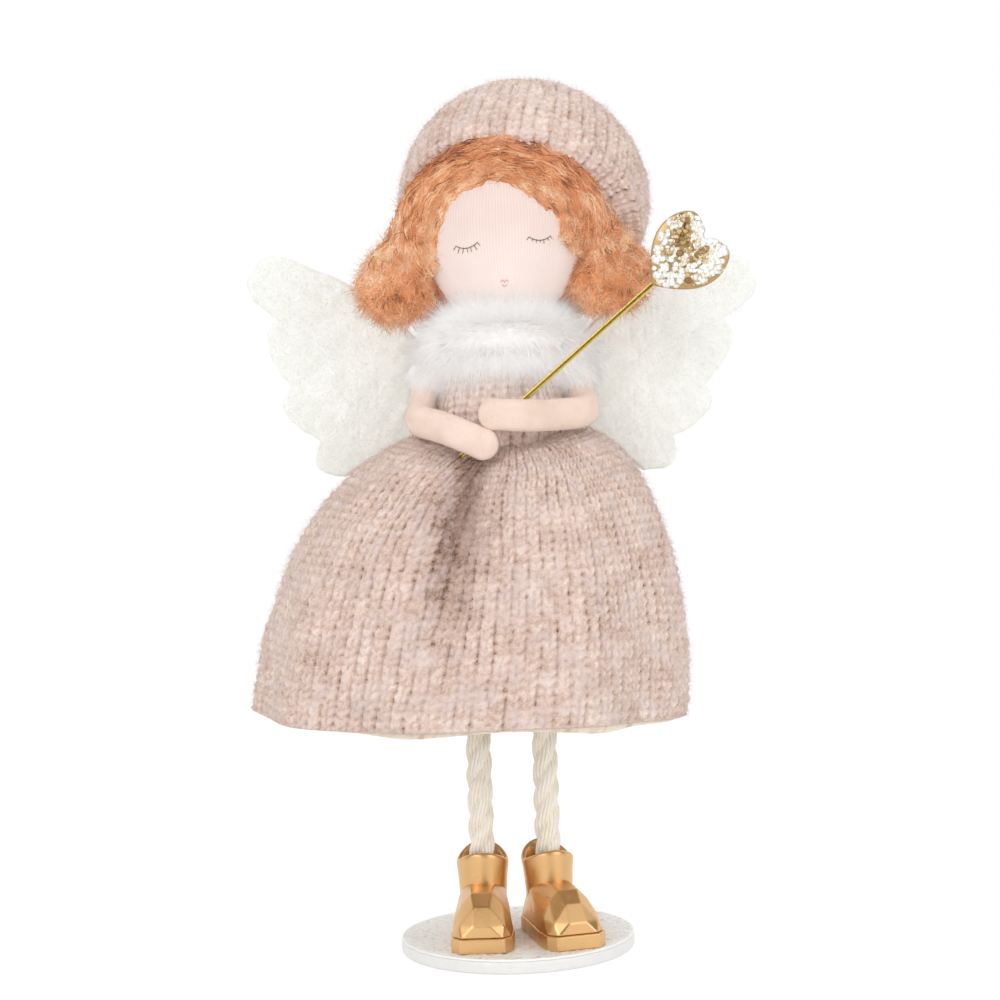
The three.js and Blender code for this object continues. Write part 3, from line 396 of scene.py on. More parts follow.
def fibre_normal(tree):
    """The real normal, drawn towards a fibre's stored direction, so fur is lit as the surface under it."""
    stored = add_node(tree, "Attribute", {}, attribute_name="lit").outputs["Vector"]
    settings = {"vector_type": "VECTOR", "convert_from": "OBJECT", "convert_to": "WORLD"}
    facing = add_node(tree, "VectorTransform", {0: stored}, **settings).outputs[0]
    amount = add_node(tree, "VectorMath", {0: stored}, operation="LENGTH").outputs["Value"]
    real = add_node(tree, "NewGeometry", {}).outputs["Normal"]
    share = calculate(tree, "MULTIPLY", amount, FIBRE_LIT)
    return add_node(tree, "Mix", {0: share, 4: real, 5: facing}, data_type="VECTOR").outputs[1]


def bumped(tree, shader, height, strength, distance, normal=None):
    """Raises the shader's surface by a height, in millimetres at full strength."""
    bump = add_node(tree, "Bump", {"Height": height, "Strength": strength, "Distance": distance * MM})
    if normal:
        tree.links.new(normal, bump.inputs["Normal"])
    tree.links.new(bump.outputs["Normal"], shader.inputs["Normal"])


def uneven_tone(tree, grain, unevenness):
    """The mesh's stored tone plus unevenness·(noise - half)."""
    tone = add_node(tree, "Attribute", {}, attribute_name="tone").outputs["Fac"]
    centred = calculate(tree, "SUBTRACT", grain, 0.5)
    return calculate(tree, "MULTIPLY_ADD", centred, unevenness, tone)


print("a fibre keeps", 1 - FIBRE_LIT, "of its own normal")


# %% Fabrics
def fabric(name, stops, drift, drift_size, grain_size, unevenness, bump, sheen=0.25, roughness=0.95):
    """Colour = ramp(uneven tone), mixed towards the drift colour in soft patches."""
    finish, tree, shader = new_finish(name, roughness, sheen=sheen)
    grain = object_noise(tree, grain_size)
    dyed = tone_ramp(tree, uneven_tone(tree, grain, unevenness), stops)
    patches = spread(tree, object_noise(tree, drift_size), 0.45, 0.7, 0.0, 0.6)
    tree.links.new(mix_colours(tree, patches, dyed, drift), shader.inputs["Base Color"])
    bumped(tree, shader, grain, 0.6, bump, fibre_normal(tree))
    return finish


def even_stops(*shades):
    """Evenly spaced ramp stops through screen colours."""
    return [(place, colour(*shade)) for place, shade in zip(np.linspace(0, 1, len(shades)), shades)]


# Each fabric's shades from dark to light, then the shade that drifts into them
SHADES = {
    "brushed_knit": ((122, 92, 76), (196, 167, 151), (224, 199, 186), (244, 228, 219), (221, 203, 200)),
    "ginger_yarn": ((108, 56, 30), (212, 132, 82), (246, 176, 126), (255, 224, 188), (224, 142, 88)),
    "white_fur": ((244, 241, 239), (251, 250, 249), (254, 254, 253), (252, 250, 249)),
    "white_plush": ((224, 226, 220), (241, 243, 237), (249, 250, 246), (248, 249, 245)),
    "peach_felt": ((213, 183, 165), (233, 209, 193), (242, 223, 209), (246, 222, 210)),
    "cream_felt": ((186, 162, 134), (231, 216, 195), (245, 234, 217), (240, 230, 214)),
    "cotton_rope": ((240, 224, 202), (253, 246, 233), (254, 252, 246), (238, 226, 206)),
}
# Each fabric's drift size, grain size, unevenness and bump
GRAINS = {
    "brushed_knit": (6.0, 0.6, 0.7, 0.25),
    "ginger_yarn": (4.0, 0.5, 0.3, 0.2),
    "white_fur": (6.0, 0.6, 0.2, 0.1),
    "white_plush": (6.0, 0.7, 0.4, 0.25),
    "peach_felt": (9.0, 0.35, 0.3, 0.12),
    "cream_felt": (8.0, 0.4, 0.35, 0.12),
    "cotton_rope": (5.0, 0.3, 0.35, 0.12),
}
fabrics = []
for name, (*shades, drift) in SHADES.items():
    fabrics.append(fabric(name, even_stops(*shades), colour(*drift), *GRAINS[name]))
pink_knit, ginger_yarn, white_fur, white_plush, peach_felt, cream_felt, cotton_rope = fabrics
print("fabrics:", list(SHADES))

# %% [markdown]
# ## Camera, floor and light
# The doll was photographed from straight ahead, level with its skirt, with the camera turned by two degrees.
# The room is plain white: soft boxes light the doll at a level where a colour renders about as it is
# written, and the white behind it is only what camera and mirror rays see.

# %% Camera
PHOTO_SIDE = 1000  # pixels
FOCAL_LENGTH = 1857  # pixels
CAMERA_AT = np.array([-0.8, -520, 124.8])
CAMERA_ROLL = 2.0  # degrees

camera = bpy.data.cameras.new("camera")
camera.lens = FOCAL_LENGTH / PHOTO_SIDE * camera.sensor_width
viewpoint = new_object("camera", camera)
viewpoint.location = CAMERA_AT * MM
viewpoint.rotation_euler = np.radians([90, CAMERA_ROLL, 0])
bpy.context.scene.camera = viewpoint
print("lens", round(camera.lens, 2), "mm")

# %% Floor and dark cards
FLOOR_HALF = 3000
FLOOR_SHADOW = 0.25  # share of the floor's look that is lit, and so can be shaded
FLOOR_GLOW = 1.12  # plain white where nothing shades the floor
# Each dark card's place, half width and half height
CARDS = {
    "dark_card_front": ((120, -900, 250), 260, 420),
    "dark_card_left": ((-800, -250, 250), 160, 420),
    "dark_card_right": ((800, -150, 250), 200, 420),
}


def seen_rays(tree):
    """1 for the rays that see the background: from the camera, from a mirror or through glass."""
    path = add_node(tree, "LightPath", {})
    mirrored = calculate(tree, "MAXIMUM", path.outputs["Is Camera Ray"], path.outputs["Is Glossy Ray"])
    return calculate(tree, "MAXIMUM", mirrored, path.outputs["Is Transmission Ray"])


def white_floor():
    """A lit white floor whose look, to the rays that see it, is mostly plain white."""
    finish, tree, shader = new_finish("white_floor", 0.9)
    shader.inputs["Base Color"].default_value = colour(246, 246, 246)
    glow = add_node(tree, "Emission", {"Color": (1, 1, 1, 1), "Strength": FLOOR_GLOW})
    share = calculate(tree, "MULTIPLY", seen_rays(tree), 1 - FLOOR_SHADOW)
    both = add_node(tree, "MixShader", {0: share, 1: shader.outputs[0], 2: glow.outputs[0]})
    tree.links.new(both.outputs[0], tree.nodes["Material Output"].inputs["Surface"])
    return finish


def flat_sheet(name, middle, across, up, finish):
    """One four-cornered face: its middle, plus and minus half its width and half its height."""
    corners = [middle + across * s + up * t for s, t in ((-1, -1), (1, -1), (1, 1), (-1, 1))]
    mesh = bpy.data.meshes.new(name)
    mesh.from_pydata((np.array(corners) * MM).tolist(), [], [(0, 1, 2, 3)])
    mesh.materials.append(finish)
    return new_object(name, mesh)


def dark_card(name, at, half_width, half_height):
    """An upright dark card that faces the doll. Only mirror rays see it, so it darkens reflections alone."""
    across = half_width * np.cross(unit(np.array(at) * (1, 1, 0)), [0, 0, 1])
    finish, _, shader = new_finish(name, 0.9)
    shader.inputs["Base Color"].default_value = colour(70, 62, 56)
    card = flat_sheet(name, np.array(at), across, np.array([0, 0, half_height]), finish)
    for rays in ("camera", "diffuse", "transmission", "volume_scatter", "shadow"):
        setattr(card, "visible_" + rays, False)


floor_x, floor_y = FLOOR_HALF * np.eye(3)[:2]
floor = flat_sheet("floor", np.zeros(3), floor_x, floor_y, white_floor())
for name, sizes in CARDS.items():
    dark_card(name, *sizes)
print("cards:", list(CARDS))

# %% World and lamps
DOLL_MIDDLE = np.array([0, 0, 125.0])
WORLD_LIGHT = 0.82
# Each lamp's place, side and power in watts
LAMPS = {
    "key_light": ((-650, -900, 700), 500, 3.0),
    "fill_light": ((750, -700, 350), 600, 1.7),
    "low_light": ((-100, -900, 40), 500, 0.85),
    "top_light": ((150, 350, 900), 500, 1.0),
}


def white_world(strength):
    """Even light of that strength, seen as plain white."""
    world = bpy.data.worlds.new("white_world")
    world.use_nodes = True
    tree = world.node_tree
    level = spread(tree, seen_rays(tree), 0.0, 1.0, strength, 1.0)
    tree.links.new(level, tree.nodes["Background"].inputs["Strength"])
    tree.nodes["Background"].inputs["Color"].default_value = (1, 1, 1, 1)
    bpy.context.scene.world = world


def softbox(name, at, side, power):
    """A square lamp of that side, aimed at the doll's middle."""
    lamp = bpy.data.lights.new(name, "AREA")
    lamp.size = side * MM
    lamp.energy = power
    held = new_object(name, lamp)
    held.location = np.array(at) * MM
    held.rotation_euler = Vector(DOLL_MIDDLE - at).to_track_quat("-Z", "Y").to_euler()


white_world(WORLD_LIGHT)
for name, settings in LAMPS.items():
    softbox(name, *settings)
bpy.context.scene.view_settings.view_transform = "Standard"
print("lamps:", [lamp.name for lamp in bpy.data.lights])

# %% [markdown]
# ## Knitting
# Skirt, bodice and beret are plain knitting in a thick brushed yarn: columns of V-shaped stitches. Real
# loops of yarn would take millions of faces, and a bump in the finish would leave the outline smooth. So the
# surface itself is a fine grid, raised stitch by stitch, and loose fibres stand over it.

# %% Stitches
LEG_AT = 0.45  # a leg's middle, as a share of the way from the column's middle to its edge
LEG_ROUND = 2.5  # the power of humps and lumps, which are flatter on top where it is higher
ROW_DENT = 0.6  # share of a leg's height that is lost between two rows


def knit(rings, columns, rows, height, seed):
    """Rings raised by height·(hump·lump - 1), so the stitches' tops lie near the rings. The hump makes two
    legs, one on each side of a column's middle. The lump swells once a row, half a row higher at the column's
    edge, so that the legs lean to a V. Stitches vary in height and tone at random. Painted shade darkens the
    pits between them, and the tone also rises with the relief, so stitch tops are painted lighter.
    Returns the raised rings, their tones and their outward directions."""
    facing = grid_facing(rings)
    wander = 0.2 * lumps(rings, 7.0, seed) + 0.1 * lumps(rings, 2.6, seed + 5)
    column = columns * np.arange(rings.shape[1]) / rings.shape[1] + wander
    row = (rows * np.arange(rings.shape[0]) / (rings.shape[0] - 1))[:, None]
    across = np.abs(2 * (column % 1) - 1)
    phase = row + 0.5 * across + 0.35 * lumps(rings, 9.0, seed + 1)
    hump = 1 - np.abs((across - LEG_AT) / (1 - LEG_AT)) ** LEG_ROUND
    lump = 1 - ROW_DENT * np.abs(2 * (phase % 1) - 1) ** LEG_ROUND
    relief = hump * lump
    each = np.random.default_rng(seed).uniform(-1, 1, (rows + 4, columns, 2))
    stitch = each[np.floor(phase).astype(int) % (rows + 4), np.floor(column).astype(int) % columns]
    rise = height * (relief * (1 + 0.18 * stitch[..., 0]) - 1) + 0.5 * lumps(rings, 11.0, seed + 2)
    rise += 0.25 * lumps(rings, 2.0, seed + 6)
    # Painted shade: darker in the pits between stitches, and lighter where the relief stands higher
    pit = np.exp(-(((1 - across) / 0.3) ** 2)) * np.abs(2 * (phase % 1) - 1) ** 1.5
    pits = pit * (0.25 + 0.75 * ease(lumps(rings, 4.0, seed + 4), -0.3, 0.5))
    mottle = 0.1 * stitch[..., 1] + 0.12 * lumps(rings, 6.0, seed + 3) + 0.14 * lumps(rings, 1.2, seed + 7)
    tone = 0.62 - 0.6 * pits + 0.22 * (relief - 0.6) + mottle
    return rings + facing * rise[..., None], np.clip(tone, 0, 1), facing


def even_steps(points, count):
    """Places along a line of points, as shares of its index, that lie equal distances apart."""
    length = lengths_along(points)
    return np.interp(np.linspace(0, length[-1], count), length, np.linspace(0, 1, len(points)))


STITCH_POINTS_ACROSS = 6
STITCH_POINTS_DOWN = 4
KNIT_HEIGHT = 1.5
FUZZ_RADIUS = 0.03


def knit_fuzz(roots, facing, rng, longest, droop=0.1):
    """Fine fibres that lie close over knitting."""
    look = {"lift": (0.05, 0.5), "bend": 0.4, "radius": FUZZ_RADIUS, "tone": (0.25, 1)}
    return fibres(roots, facing, rng, length=(1.0, longest), pull=(0, 0, -droop), **look)


def put_knit(name, body, part, replaces=(), airy=False):
    """A piece of the doll's pink knitting."""
    return put_piece(name, body, pink_knit, [part], replaces, airy, "pink_knit")


print("a stitch has", STITCH_POINTS_ACROSS, "by", STITCH_POINTS_DOWN, "points")

# %% [markdown]
# The skirt is a bell gathered at the waist, a quarter ellipse from waist to hem that leans to the doll's
# right. One pleat is pushed in at the front, under the hands, and nine shallow folds run down to the hem. The
# grid follows the frame's own formula for the bell, and its rows are spaced evenly along the profile.

# %% Shape of the skirt
WAIST_AT = np.array([1, 0, 142.0])
BODICE_HALF_WIDTH = 18
BODICE_HALF_DEPTH = 15.2
BODICE_TAIL = 6
BODICE_HEIGHT = 21
CHEST_HEIGHT = 7
WAIST_NIP = 0.9
NECK_HOLE_RADIUS = 6.5
SKIRT_TOP = 2.6
SKIRT_HEIGHT = 77
SKIRT_HALF_WIDTH = 60.6
SKIRT_HALF_DEPTH = 51.5
SKIRT_SHIFT = 11.5
SKIRT_SLOPE = 0.066
SKIRT_FRONT_DROP = 6
PLEAT_DEPTH = 11
PLEAT_HALF_WIDTH = 10
PLEAT_OFFSET = -8
CREASE_DEPTH = 7
CREASE_HALF_WIDTH = 3.5
FOLD_COUNT = 9
FOLD_DEPTH = 1.3
WAIST_GAP = 0.3
HEM_TURN = np.pi / 2  # the turn down the profile, which is 0 at the waist
HEM_PULL = 4.0
HEM_PULL_AT = 0.6  # radians forward from the doll's right
HEM_PULL_FROM = np.radians(35)
SKIRT_DRAWN_IN = 0.9
SKIRT_SWING = 1.8


def bodice_half(height, half):
    """Half a width of the bodice: nipped at the waist, full at the chest, a quarter ellipse to the neck."""
    rise = np.clip((height - CHEST_HEIGHT) / (BODICE_HEIGHT - CHEST_HEIGHT), 0, 1)
    nip = WAIST_NIP * (1 - ease(height, 0, CHEST_HEIGHT))
    return NECK_HOLE_RADIUS + (half - nip - NECK_HOLE_RADIUS) * np.sqrt(1 - rise**2)


def pleat_in(angle, turn, radius):
    """How far the pleat is pushed in: a wide and a narrow bell curve across the front, that fade at waist
    and hem."""
    full = np.clip(np.sin(2 * turn), 0, 1)
    fade = np.where(turn < np.pi / 4, np.sqrt(full), full**2)
    across = radius * np.cos(angle) - PLEAT_OFFSET
    wide = PLEAT_DEPTH * np.exp(-((across / PLEAT_HALF_WIDTH) ** 2))
    narrow = CREASE_DEPTH * np.exp(-((across / CREASE_HALF_WIDTH) ** 2))
    return np.maximum(0, -np.sin(angle)) * fade * (wide + narrow)


def skirt_surface(angle, turn, inside=0.0, hang=0.0):
    """The bell at an angle round the doll and a turn down its profile, some way inside its outer face. The
    radius grows with the sine of the turn and the height falls with its cosine. The folds are a cosine round
    the hem. The whole may hang lower."""
    waist_x = bodice_half(SKIRT_TOP, BODICE_HALF_WIDTH) + WAIST_GAP
    waist_y = bodice_half(SKIRT_TOP, BODICE_HALF_DEPTH) + WAIST_GAP
    out_x = SKIRT_HALF_WIDTH - waist_x
    out_y = SKIRT_HALF_DEPTH - waist_y
    spread_out = np.hypot(out_x * np.cos(angle), out_y * np.sin(angle))
    tilt = np.hypot(SKIRT_HEIGHT * np.sin(turn), spread_out * np.cos(turn))
    inward = inside * SKIRT_HEIGHT * np.sin(turn) / tilt
    under = inside * spread_out * np.cos(turn) / tilt
    front = np.maximum(0, -np.sin(angle))
    radius = np.hypot(waist_x * np.cos(angle), waist_y * np.sin(angle)) + spread_out * np.sin(turn)
    fold = FOLD_DEPTH * np.sin(turn) ** 3 * np.cos(FOLD_COUNT * angle)
    drawn = inward + pleat_in(angle, turn, radius) + fold
    fall = 1 - np.cos(turn)
    x = (waist_x + out_x * np.sin(turn) - drawn) * np.cos(angle) - SKIRT_SHIFT * fall
    y = (waist_y + out_y * np.sin(turn) - drawn) * np.sin(angle)
    sag = SKIRT_FRONT_DROP * front**2 * (1 - fall) + SKIRT_SLOPE * x * fall
    return WAIST_AT + join_xyz(x, y, SKIRT_TOP - SKIRT_HEIGHT * fall - under - sag - hang)


def profile_turns(count):
    """Turns from waist to hem, evenly spaced along the profile at the doll's side."""
    fine = np.linspace(0, HEM_TURN, 200)
    return even_steps(skirt_surface(0.0, fine), count) * HEM_TURN


def worn_skirt(angle, turn, inside=0.0, hang=0.0, pull=HEM_PULL):
    """The bell as it is worn: drawn in a little at the doll's left, pulled lower at the hem on its right, and
    swung to its right half way down."""
    drawn_in = SKIRT_DRAWN_IN * np.clip(np.cos(angle), 0, 1) ** 2 * np.sin(turn) ** 2
    pulled = pull * np.clip(-np.cos(angle - HEM_PULL_AT), 0, 1) ** 1.5 * ease(turn, HEM_PULL_FROM, HEM_TURN)
    swung = np.array([-SKIRT_SWING, 0, 0]) * (np.sin(2 * turn) ** 2)[..., None]
    return skirt_surface(angle, turn, inside + drawn_in, hang + pulled) + swung


print("the hem hangs", skirt_surface(0.0, HEM_TURN)[2].round(1), "mm up at the doll's left")

# %% Knitted skirt
SKIRT_WALL = 3
SKIRT_COLUMNS = 88
SKIRT_ROWS = 37
SKIRT_FIBRES = 46000
HEM_DROOP = 0.6

angles = ring_angles(SKIRT_COLUMNS * STITCH_POINTS_ACROSS)
turns = profile_turns(SKIRT_ROWS * STITCH_POINTS_DOWN + 1)[:, None]
bell = worn_skirt(angles, turns)
skirt_knit, skirt_tone, skirt_facing = knit(bell, SKIRT_COLUMNS, SKIRT_ROWS, KNIT_HEIGHT, 11)
from_axis = np.linalg.norm((skirt_knit - WAIST_AT)[..., :2], axis=-1)
# Painted shade: the tone is lowered by the pleat's depth, darkest in its crease
pleat_share = pleat_in(angles, turns, from_axis) / PLEAT_DEPTH
skirt_tone = np.clip(skirt_tone - 0.3 * pleat_share, 0, 1)
roll = np.linspace(0, 1, 6)[1:-1, None]
hem_inside = 0.5 + (SKIRT_WALL - 0.5) * roll
hem = worn_skirt(angles, np.full((1, 1), HEM_TURN), hem_inside, HEM_DROOP * np.sin(np.pi * roll))
inner_wall = worn_skirt(angles, turns[::-7], SKIRT_WALL)
skirt_rings = np.concatenate([skirt_knit, hem, inner_wall])
skirt_tones = np.concatenate([skirt_tone, np.full(hem.shape[:2], 0.5), np.full(inner_wall.shape[:2], 0.4)])
skirt = put_knit("knitted_skirt", "body", loop(skirt_rings, skirt_tones), ["skirt"])

rng = np.random.default_rng(12)
roots, facing = scatter(skirt_knit, skirt_facing, SKIRT_FIBRES, rng)
for name, half in (("skirt_fuzz_front", roots[:, 1] < 0), ("skirt_fuzz_back", roots[:, 1] >= 0)):
    put_knit(name, "body", knit_fuzz(roots[half], facing[half], rng, 3.4), airy=True)

# %% [markdown]
# A stiff felt lining holds the skirt out. Only its overlocked edge shows, a cream line with brown thread
# under the hem. It is the same bell a little further in, and its last rows hang below the knitting.

# %% Skirt lining
LINING_TOP = np.radians(54)
LINING_INSIDE = (3.6, 4.6)
LINING_SHOWS = 1.2
LINING_LOW_AT = (253, 307)  # degrees round the hem where twice as much of it shows
LINING_LOW_HALF = 13  # degrees
LINING_EDGE = np.array([[3.8], [4.4]])  # how far inside the two rings of its edge are
LINING_EDGE_HANG = 0.25
LINING_PULL = 3.2
LINING_DROPS_FROM = np.radians(74)
OVERLOCKED_ROWS = slice(14, 32)  # near the edge, where the brown thread shows

lining_angles = ring_angles(360)
lining_turns = np.linspace(LINING_TOP, HEM_TURN, 24)[:, None]
lower = sum(np.exp(-((np.degrees(lining_angles) - place) / LINING_LOW_HALF) ** 2) for place in LINING_LOW_AT)
lining_shows = LINING_SHOWS * (1 + lower)
lining_hang = lining_shows * ease(lining_turns, LINING_DROPS_FROM, HEM_TURN)
edge_turn = np.full((1, 1), HEM_TURN)
outside = worn_skirt(lining_angles, lining_turns, LINING_INSIDE[0], lining_hang, LINING_PULL)
edge = worn_skirt(lining_angles, edge_turn, LINING_EDGE, lining_shows + LINING_EDGE_HANG, LINING_PULL)
inside = worn_skirt(lining_angles, lining_turns[::-1], LINING_INSIDE[1], lining_hang[::-1], LINING_PULL)
lining_rings = np.concatenate([outside, edge, inside])
thread = lumps(lining_rings, 0.9, 14)
lining_tone = 0.85 + 0.12 * lumps(lining_rings, 3.0, 13)
lining_tone[OVERLOCKED_ROWS] -= 0.6 * ease(thread[OVERLOCKED_ROWS], 0.25, 0.5)
lining_rings += 0.12 * grid_facing(lining_rings) * lumps(lining_rings, 1.0, 15)[..., None]
lining_parts = [loop(lining_rings, lining_tone)]
lining = put_piece("felt_lining", "body", cream_felt, lining_parts, ["skirt_lining"])

# %% [markdown]
# The bodice is a short tube of the same knitting, drawn over the wooden torso. It is a thin shell, so its
# grid goes down the outside and up the inside.

# %% Bodice
BODICE_WALL = 2.2
BODICE_COLUMNS = 26
BODICE_POINTS_ACROSS = 8  # for each stitch
BODICE_ROWS = 14
BODICE_KNIT_HEIGHT = 1.15
BODICE_FULL_SIDE = 1.05  # how many times as wide it is on the doll's right
BODICE_FIBRES = 5000


def bodice_surface(angle, height, inside=0.0):
    """An ellipse at each height, some way inside the outer face."""
    x = (bodice_half(height, BODICE_HALF_WIDTH) - inside) * np.cos(angle)
    y = (bodice_half(height, BODICE_HALF_DEPTH) - inside) * np.sin(angle)
    return WAIST_AT + join_xyz(np.where(x < 0, BODICE_FULL_SIDE * x, x), y, height)


angles = ring_angles(BODICE_COLUMNS * BODICE_POINTS_ACROSS)
fine = np.linspace(BODICE_HEIGHT, -BODICE_TAIL, 200)
places = even_steps(bodice_surface(0.0, fine), BODICE_ROWS * STITCH_POINTS_DOWN + 1)
heights = (BODICE_HEIGHT - (BODICE_HEIGHT + BODICE_TAIL) * places)[:, None]
tube = bodice_surface(angles, heights)
bodice_knit, bodice_tone, bodice_facing = knit(tube, BODICE_COLUMNS, BODICE_ROWS, BODICE_KNIT_HEIGHT, 21)
bodice_inner = bodice_surface(angles, heights[::-6], BODICE_WALL)
bodice_rings = np.concatenate([bodice_knit, bodice_inner])
# Stretched and raised tones: painted light that offsets the shade cast by the collar and arms
bodice_tone = np.clip(1.35 * bodice_tone - 0.07, 0, 1)
bodice_tones = np.concatenate([bodice_tone, np.full(bodice_inner.shape[:2], 0.4)])
bodice = put_knit("knitted_bodice", "body", loop(bodice_rings, bodice_tones), ["bodice"])
rng = np.random.default_rng(22)
roots, facing = scatter(bodice_knit, bodice_facing, BODICE_FIBRES, rng)
put_knit("bodice_fuzz", "body", knit_fuzz(roots, facing, rng, 3.0), airy=True)

# %% [markdown]
# The beret is knitted from its crown outwards and stuffed, so its columns radiate from a pole. The pole
# stands square to the slanting plane of the rim. On a ball scaled to a sphere that plane is a circle at one
# angle from the pole, so rows are angles from the pole and columns are angles round it. A few more rows turn
# in under the rim.

# %% Beret
HEAD_AT = np.array([2.5, 0, 197.5])
BERET_AT = np.array([6.4, 9, 11.5])
BERET_HALF = np.array([35.8, 29, 35])
RIM_FRONT = np.array([0, -15.5, 25.5])
RIM_NAPE = np.array([0, 22, -9.0])
RIM_SIDE_SLOPE = 0.2
BERET_COLUMNS = 52
BERET_ROWS = 25
RIM_ROWS = 5  # turned in under the rim
BERET_TURN_IN = 0.36  # share of the rim's half width
BERET_ROLL = 1.2
BERET_FIBRES = 19000

rim_up = unit(np.cross([1, 0, -RIM_SIDE_SLOPE], RIM_NAPE - RIM_FRONT))
pole = unit(rim_up * BERET_HALF)
rim_angle = np.arccos(rim_up @ (RIM_FRONT - BERET_AT) / np.linalg.norm(rim_up * BERET_HALF))
pole_side = unit(np.cross(pole, [0, 1.0, 0]))
pole_front = np.cross(pole, pole_side)


def beret_surface(angle, from_pole):
    """A ball in polar angles about the pole, stretched to the beret's three half sizes."""
    around = pole_side * np.cos(angle)[..., None] + pole_front * np.sin(angle)[..., None]
    ball = pole * np.cos(from_pole)[..., None] + around * np.sin(from_pole)[..., None]
    return HEAD_AT + BERET_AT + BERET_HALF * ball


angles = ring_angles(BERET_COLUMNS * STITCH_POINTS_ACROSS)[None]
from_pole = np.linspace(np.radians(2), rim_angle, BERET_ROWS * STITCH_POINTS_DOWN + 1)[:, None]
ball = beret_surface(angles, from_pole)
rim = ball[-1:]
rim_middle = rim.mean((0, 1))
under_rim = np.linspace(0, 1, RIM_ROWS * STITCH_POINTS_DOWN + 1)[1:, None, None]
rim_roll = rim_up * BERET_ROLL * np.sin(np.pi * under_rim)
turned_in = rim + (rim_middle - rim) * BERET_TURN_IN * under_rim - rim_roll
rings = np.concatenate([ball, turned_in])
beret_knit, beret_tone, beret_facing = knit(rings, BERET_COLUMNS, BERET_ROWS + RIM_ROWS, KNIT_HEIGHT, 31)
rng = np.random.default_rng(32)
roots, facing = scatter(beret_knit[STITCH_POINTS_DOWN:], beret_facing[STITCH_POINTS_DOWN:], BERET_FIBRES, rng)
beret_fuzz = knit_fuzz(roots, facing, rng, 3.0, 0.05)
beret = put_knit("knitted_beret", "head", skin(beret_knit, beret_tone), ["beret", "beret_filling"])
put_knit("beret_fuzz", "head", beret_fuzz, airy=True)

# %% [markdown]
# ## Fur collar
# A strip of long white fur is wrapped round the neck. A plain ring carries strands that start outwards. Most
# of those near its top rise and most of those below droop, so the ring itself never shows. At the shoulders
# the drooping strands are longer and the rising ones shorter.

# %% Fur collar
COLLAR_RING_HALF = np.array([13.4, 12.4])
COLLAR_SECTION_HALF = np.array([6, 7.5])
COLLAR_CORE = np.array([0.5, 0.55])  # the ring under the fur, as shares of the section
COLLAR_STRANDS = 28000
COLLAR_LENGTH = (6.5, 11.5)
SHOULDER_FROM = (7, 15)  # the change at the shoulders starts and ends this far from the middle
SHOULDER_LENGTH = (2.5, 4.5)  # how much longer strands droop at the shoulders
SHOULDER_RISE = -0.4  # share of that change for the strands that rise
FUR = {"radius": 0.055, "tone": (0.2, 1)}

low, high = box_mm("fur_collar")
collar_at = (low + high) / 2
round_angle = ring_angles(72)[None]
section = ring_angles(20)[:, None]
core_half = COLLAR_SECTION_HALF * COLLAR_CORE
out = np.cos(section)
reach = core_half[0] * out
collar_x = (COLLAR_RING_HALF[0] + reach) * np.cos(round_angle)
collar_y = (COLLAR_RING_HALF[1] + reach) * np.sin(round_angle)
collar_rings = collar_at + join_xyz(collar_x, collar_y, core_half[1] * np.sin(section))
section_facing = join_xyz(out * np.cos(round_angle), out * np.sin(round_angle), np.sin(section))
rng = np.random.default_rng(41)
roots, facing = scatter(collar_rings, section_facing, COLLAR_STRANDS, rng)
away = unit((roots - collar_at) * (1, 1, 0))
level = unit(away + (0, 0, 0.9))
rises = rng.random((len(roots), 1)) < ease(facing[:, 2:], -0.4, 0.9)
pull = 0.15 * rises * away + (0.45 * rises - 0.4) * np.array([0, 0, 1])
beside = ease(np.abs(roots[:, 0] - collar_at[0]), *SHOULDER_FROM)[:, None] * np.where(rises, SHOULDER_RISE, 1)
length = [plain + more * beside[..., None] for plain, more in zip(COLLAR_LENGTH, SHOULDER_LENGTH)]
shape = {"length": length, "lift": (0.3, 0.95), "bend": 0.4, "pull": pull[:, None], "sink": 0.3}
strands = fibres(roots, facing, rng, lit=level, **shape, **FUR)
collar = put_piece("fur_ruff", "body", white_fur, [loop(collar_rings, 0.4)], ["fur_collar"])
put_piece("fur_strands", "body", white_fur, [strands], airy=True)

# %% [markdown]
# ## Head and face
# A foam egg is covered with thin knitted jersey, whose ribs run up and down, and the face is drawn on it:
# closed eyes with lashes and a small mouth. The head is a skin of ellipses, fuller at the brow than at the
# chin. The ribs are fine, so they live in the finish, as waves round the head's axis. The drawn lines are
# thin tubes half sunk in the jersey.

# %% Head
HEAD_HALF = np.array([23, 22.2, 23.5])
HEAD_FULLNESS = 0.06
NECK_RADIUS = 5.2
NECK_LOW = -33.9
NECK_TOP = -24.2
JERSEY_RIBS = 160
CHEEK_AT = (11, -10.5)
CHEEK_HALF = (5, 4)


def jersey_finish():
    """Skin colour by tone, with a fine wave of the angle round the head's axis for the ribs."""
    finish, tree, shader = new_finish("jersey", 0.9, sheen=0.2)
    axes = add_node(tree, "SeparateXYZ", {0: object_place(tree)}).outputs
    across = calculate(tree, "SUBTRACT", axes["X"], HEAD_AT[0] * MM)
    angle = calculate(tree, "ARCTAN2", axes["Y"], across)
    ribs = calculate(tree, "SINE", calculate(tree, "MULTIPLY", angle, float(JERSEY_RIBS)))
    shade = calculate(tree, "MULTIPLY_ADD", ribs, 0.07, uneven_tone(tree, object_noise(tree, 6.0), 0.2))
    skin_stops = even_stops((216, 184, 172), (234, 214, 206), (252, 240, 235))
    tree.links.new(tone_ramp(tree, shade, skin_stops), shader.inputs["Base Color"])
    bumped(tree, shader, ribs, 0.25, 0.05)
    return finish


def egg_half(lift):
    """Half an egg's width, as a share of its widest, at each lift from -1, the chin, to 1, the crown. It is
    fuller towards the top."""
    return np.sqrt(np.maximum(0, 1 - lift**2)) * (1 + HEAD_FULLNESS * lift)


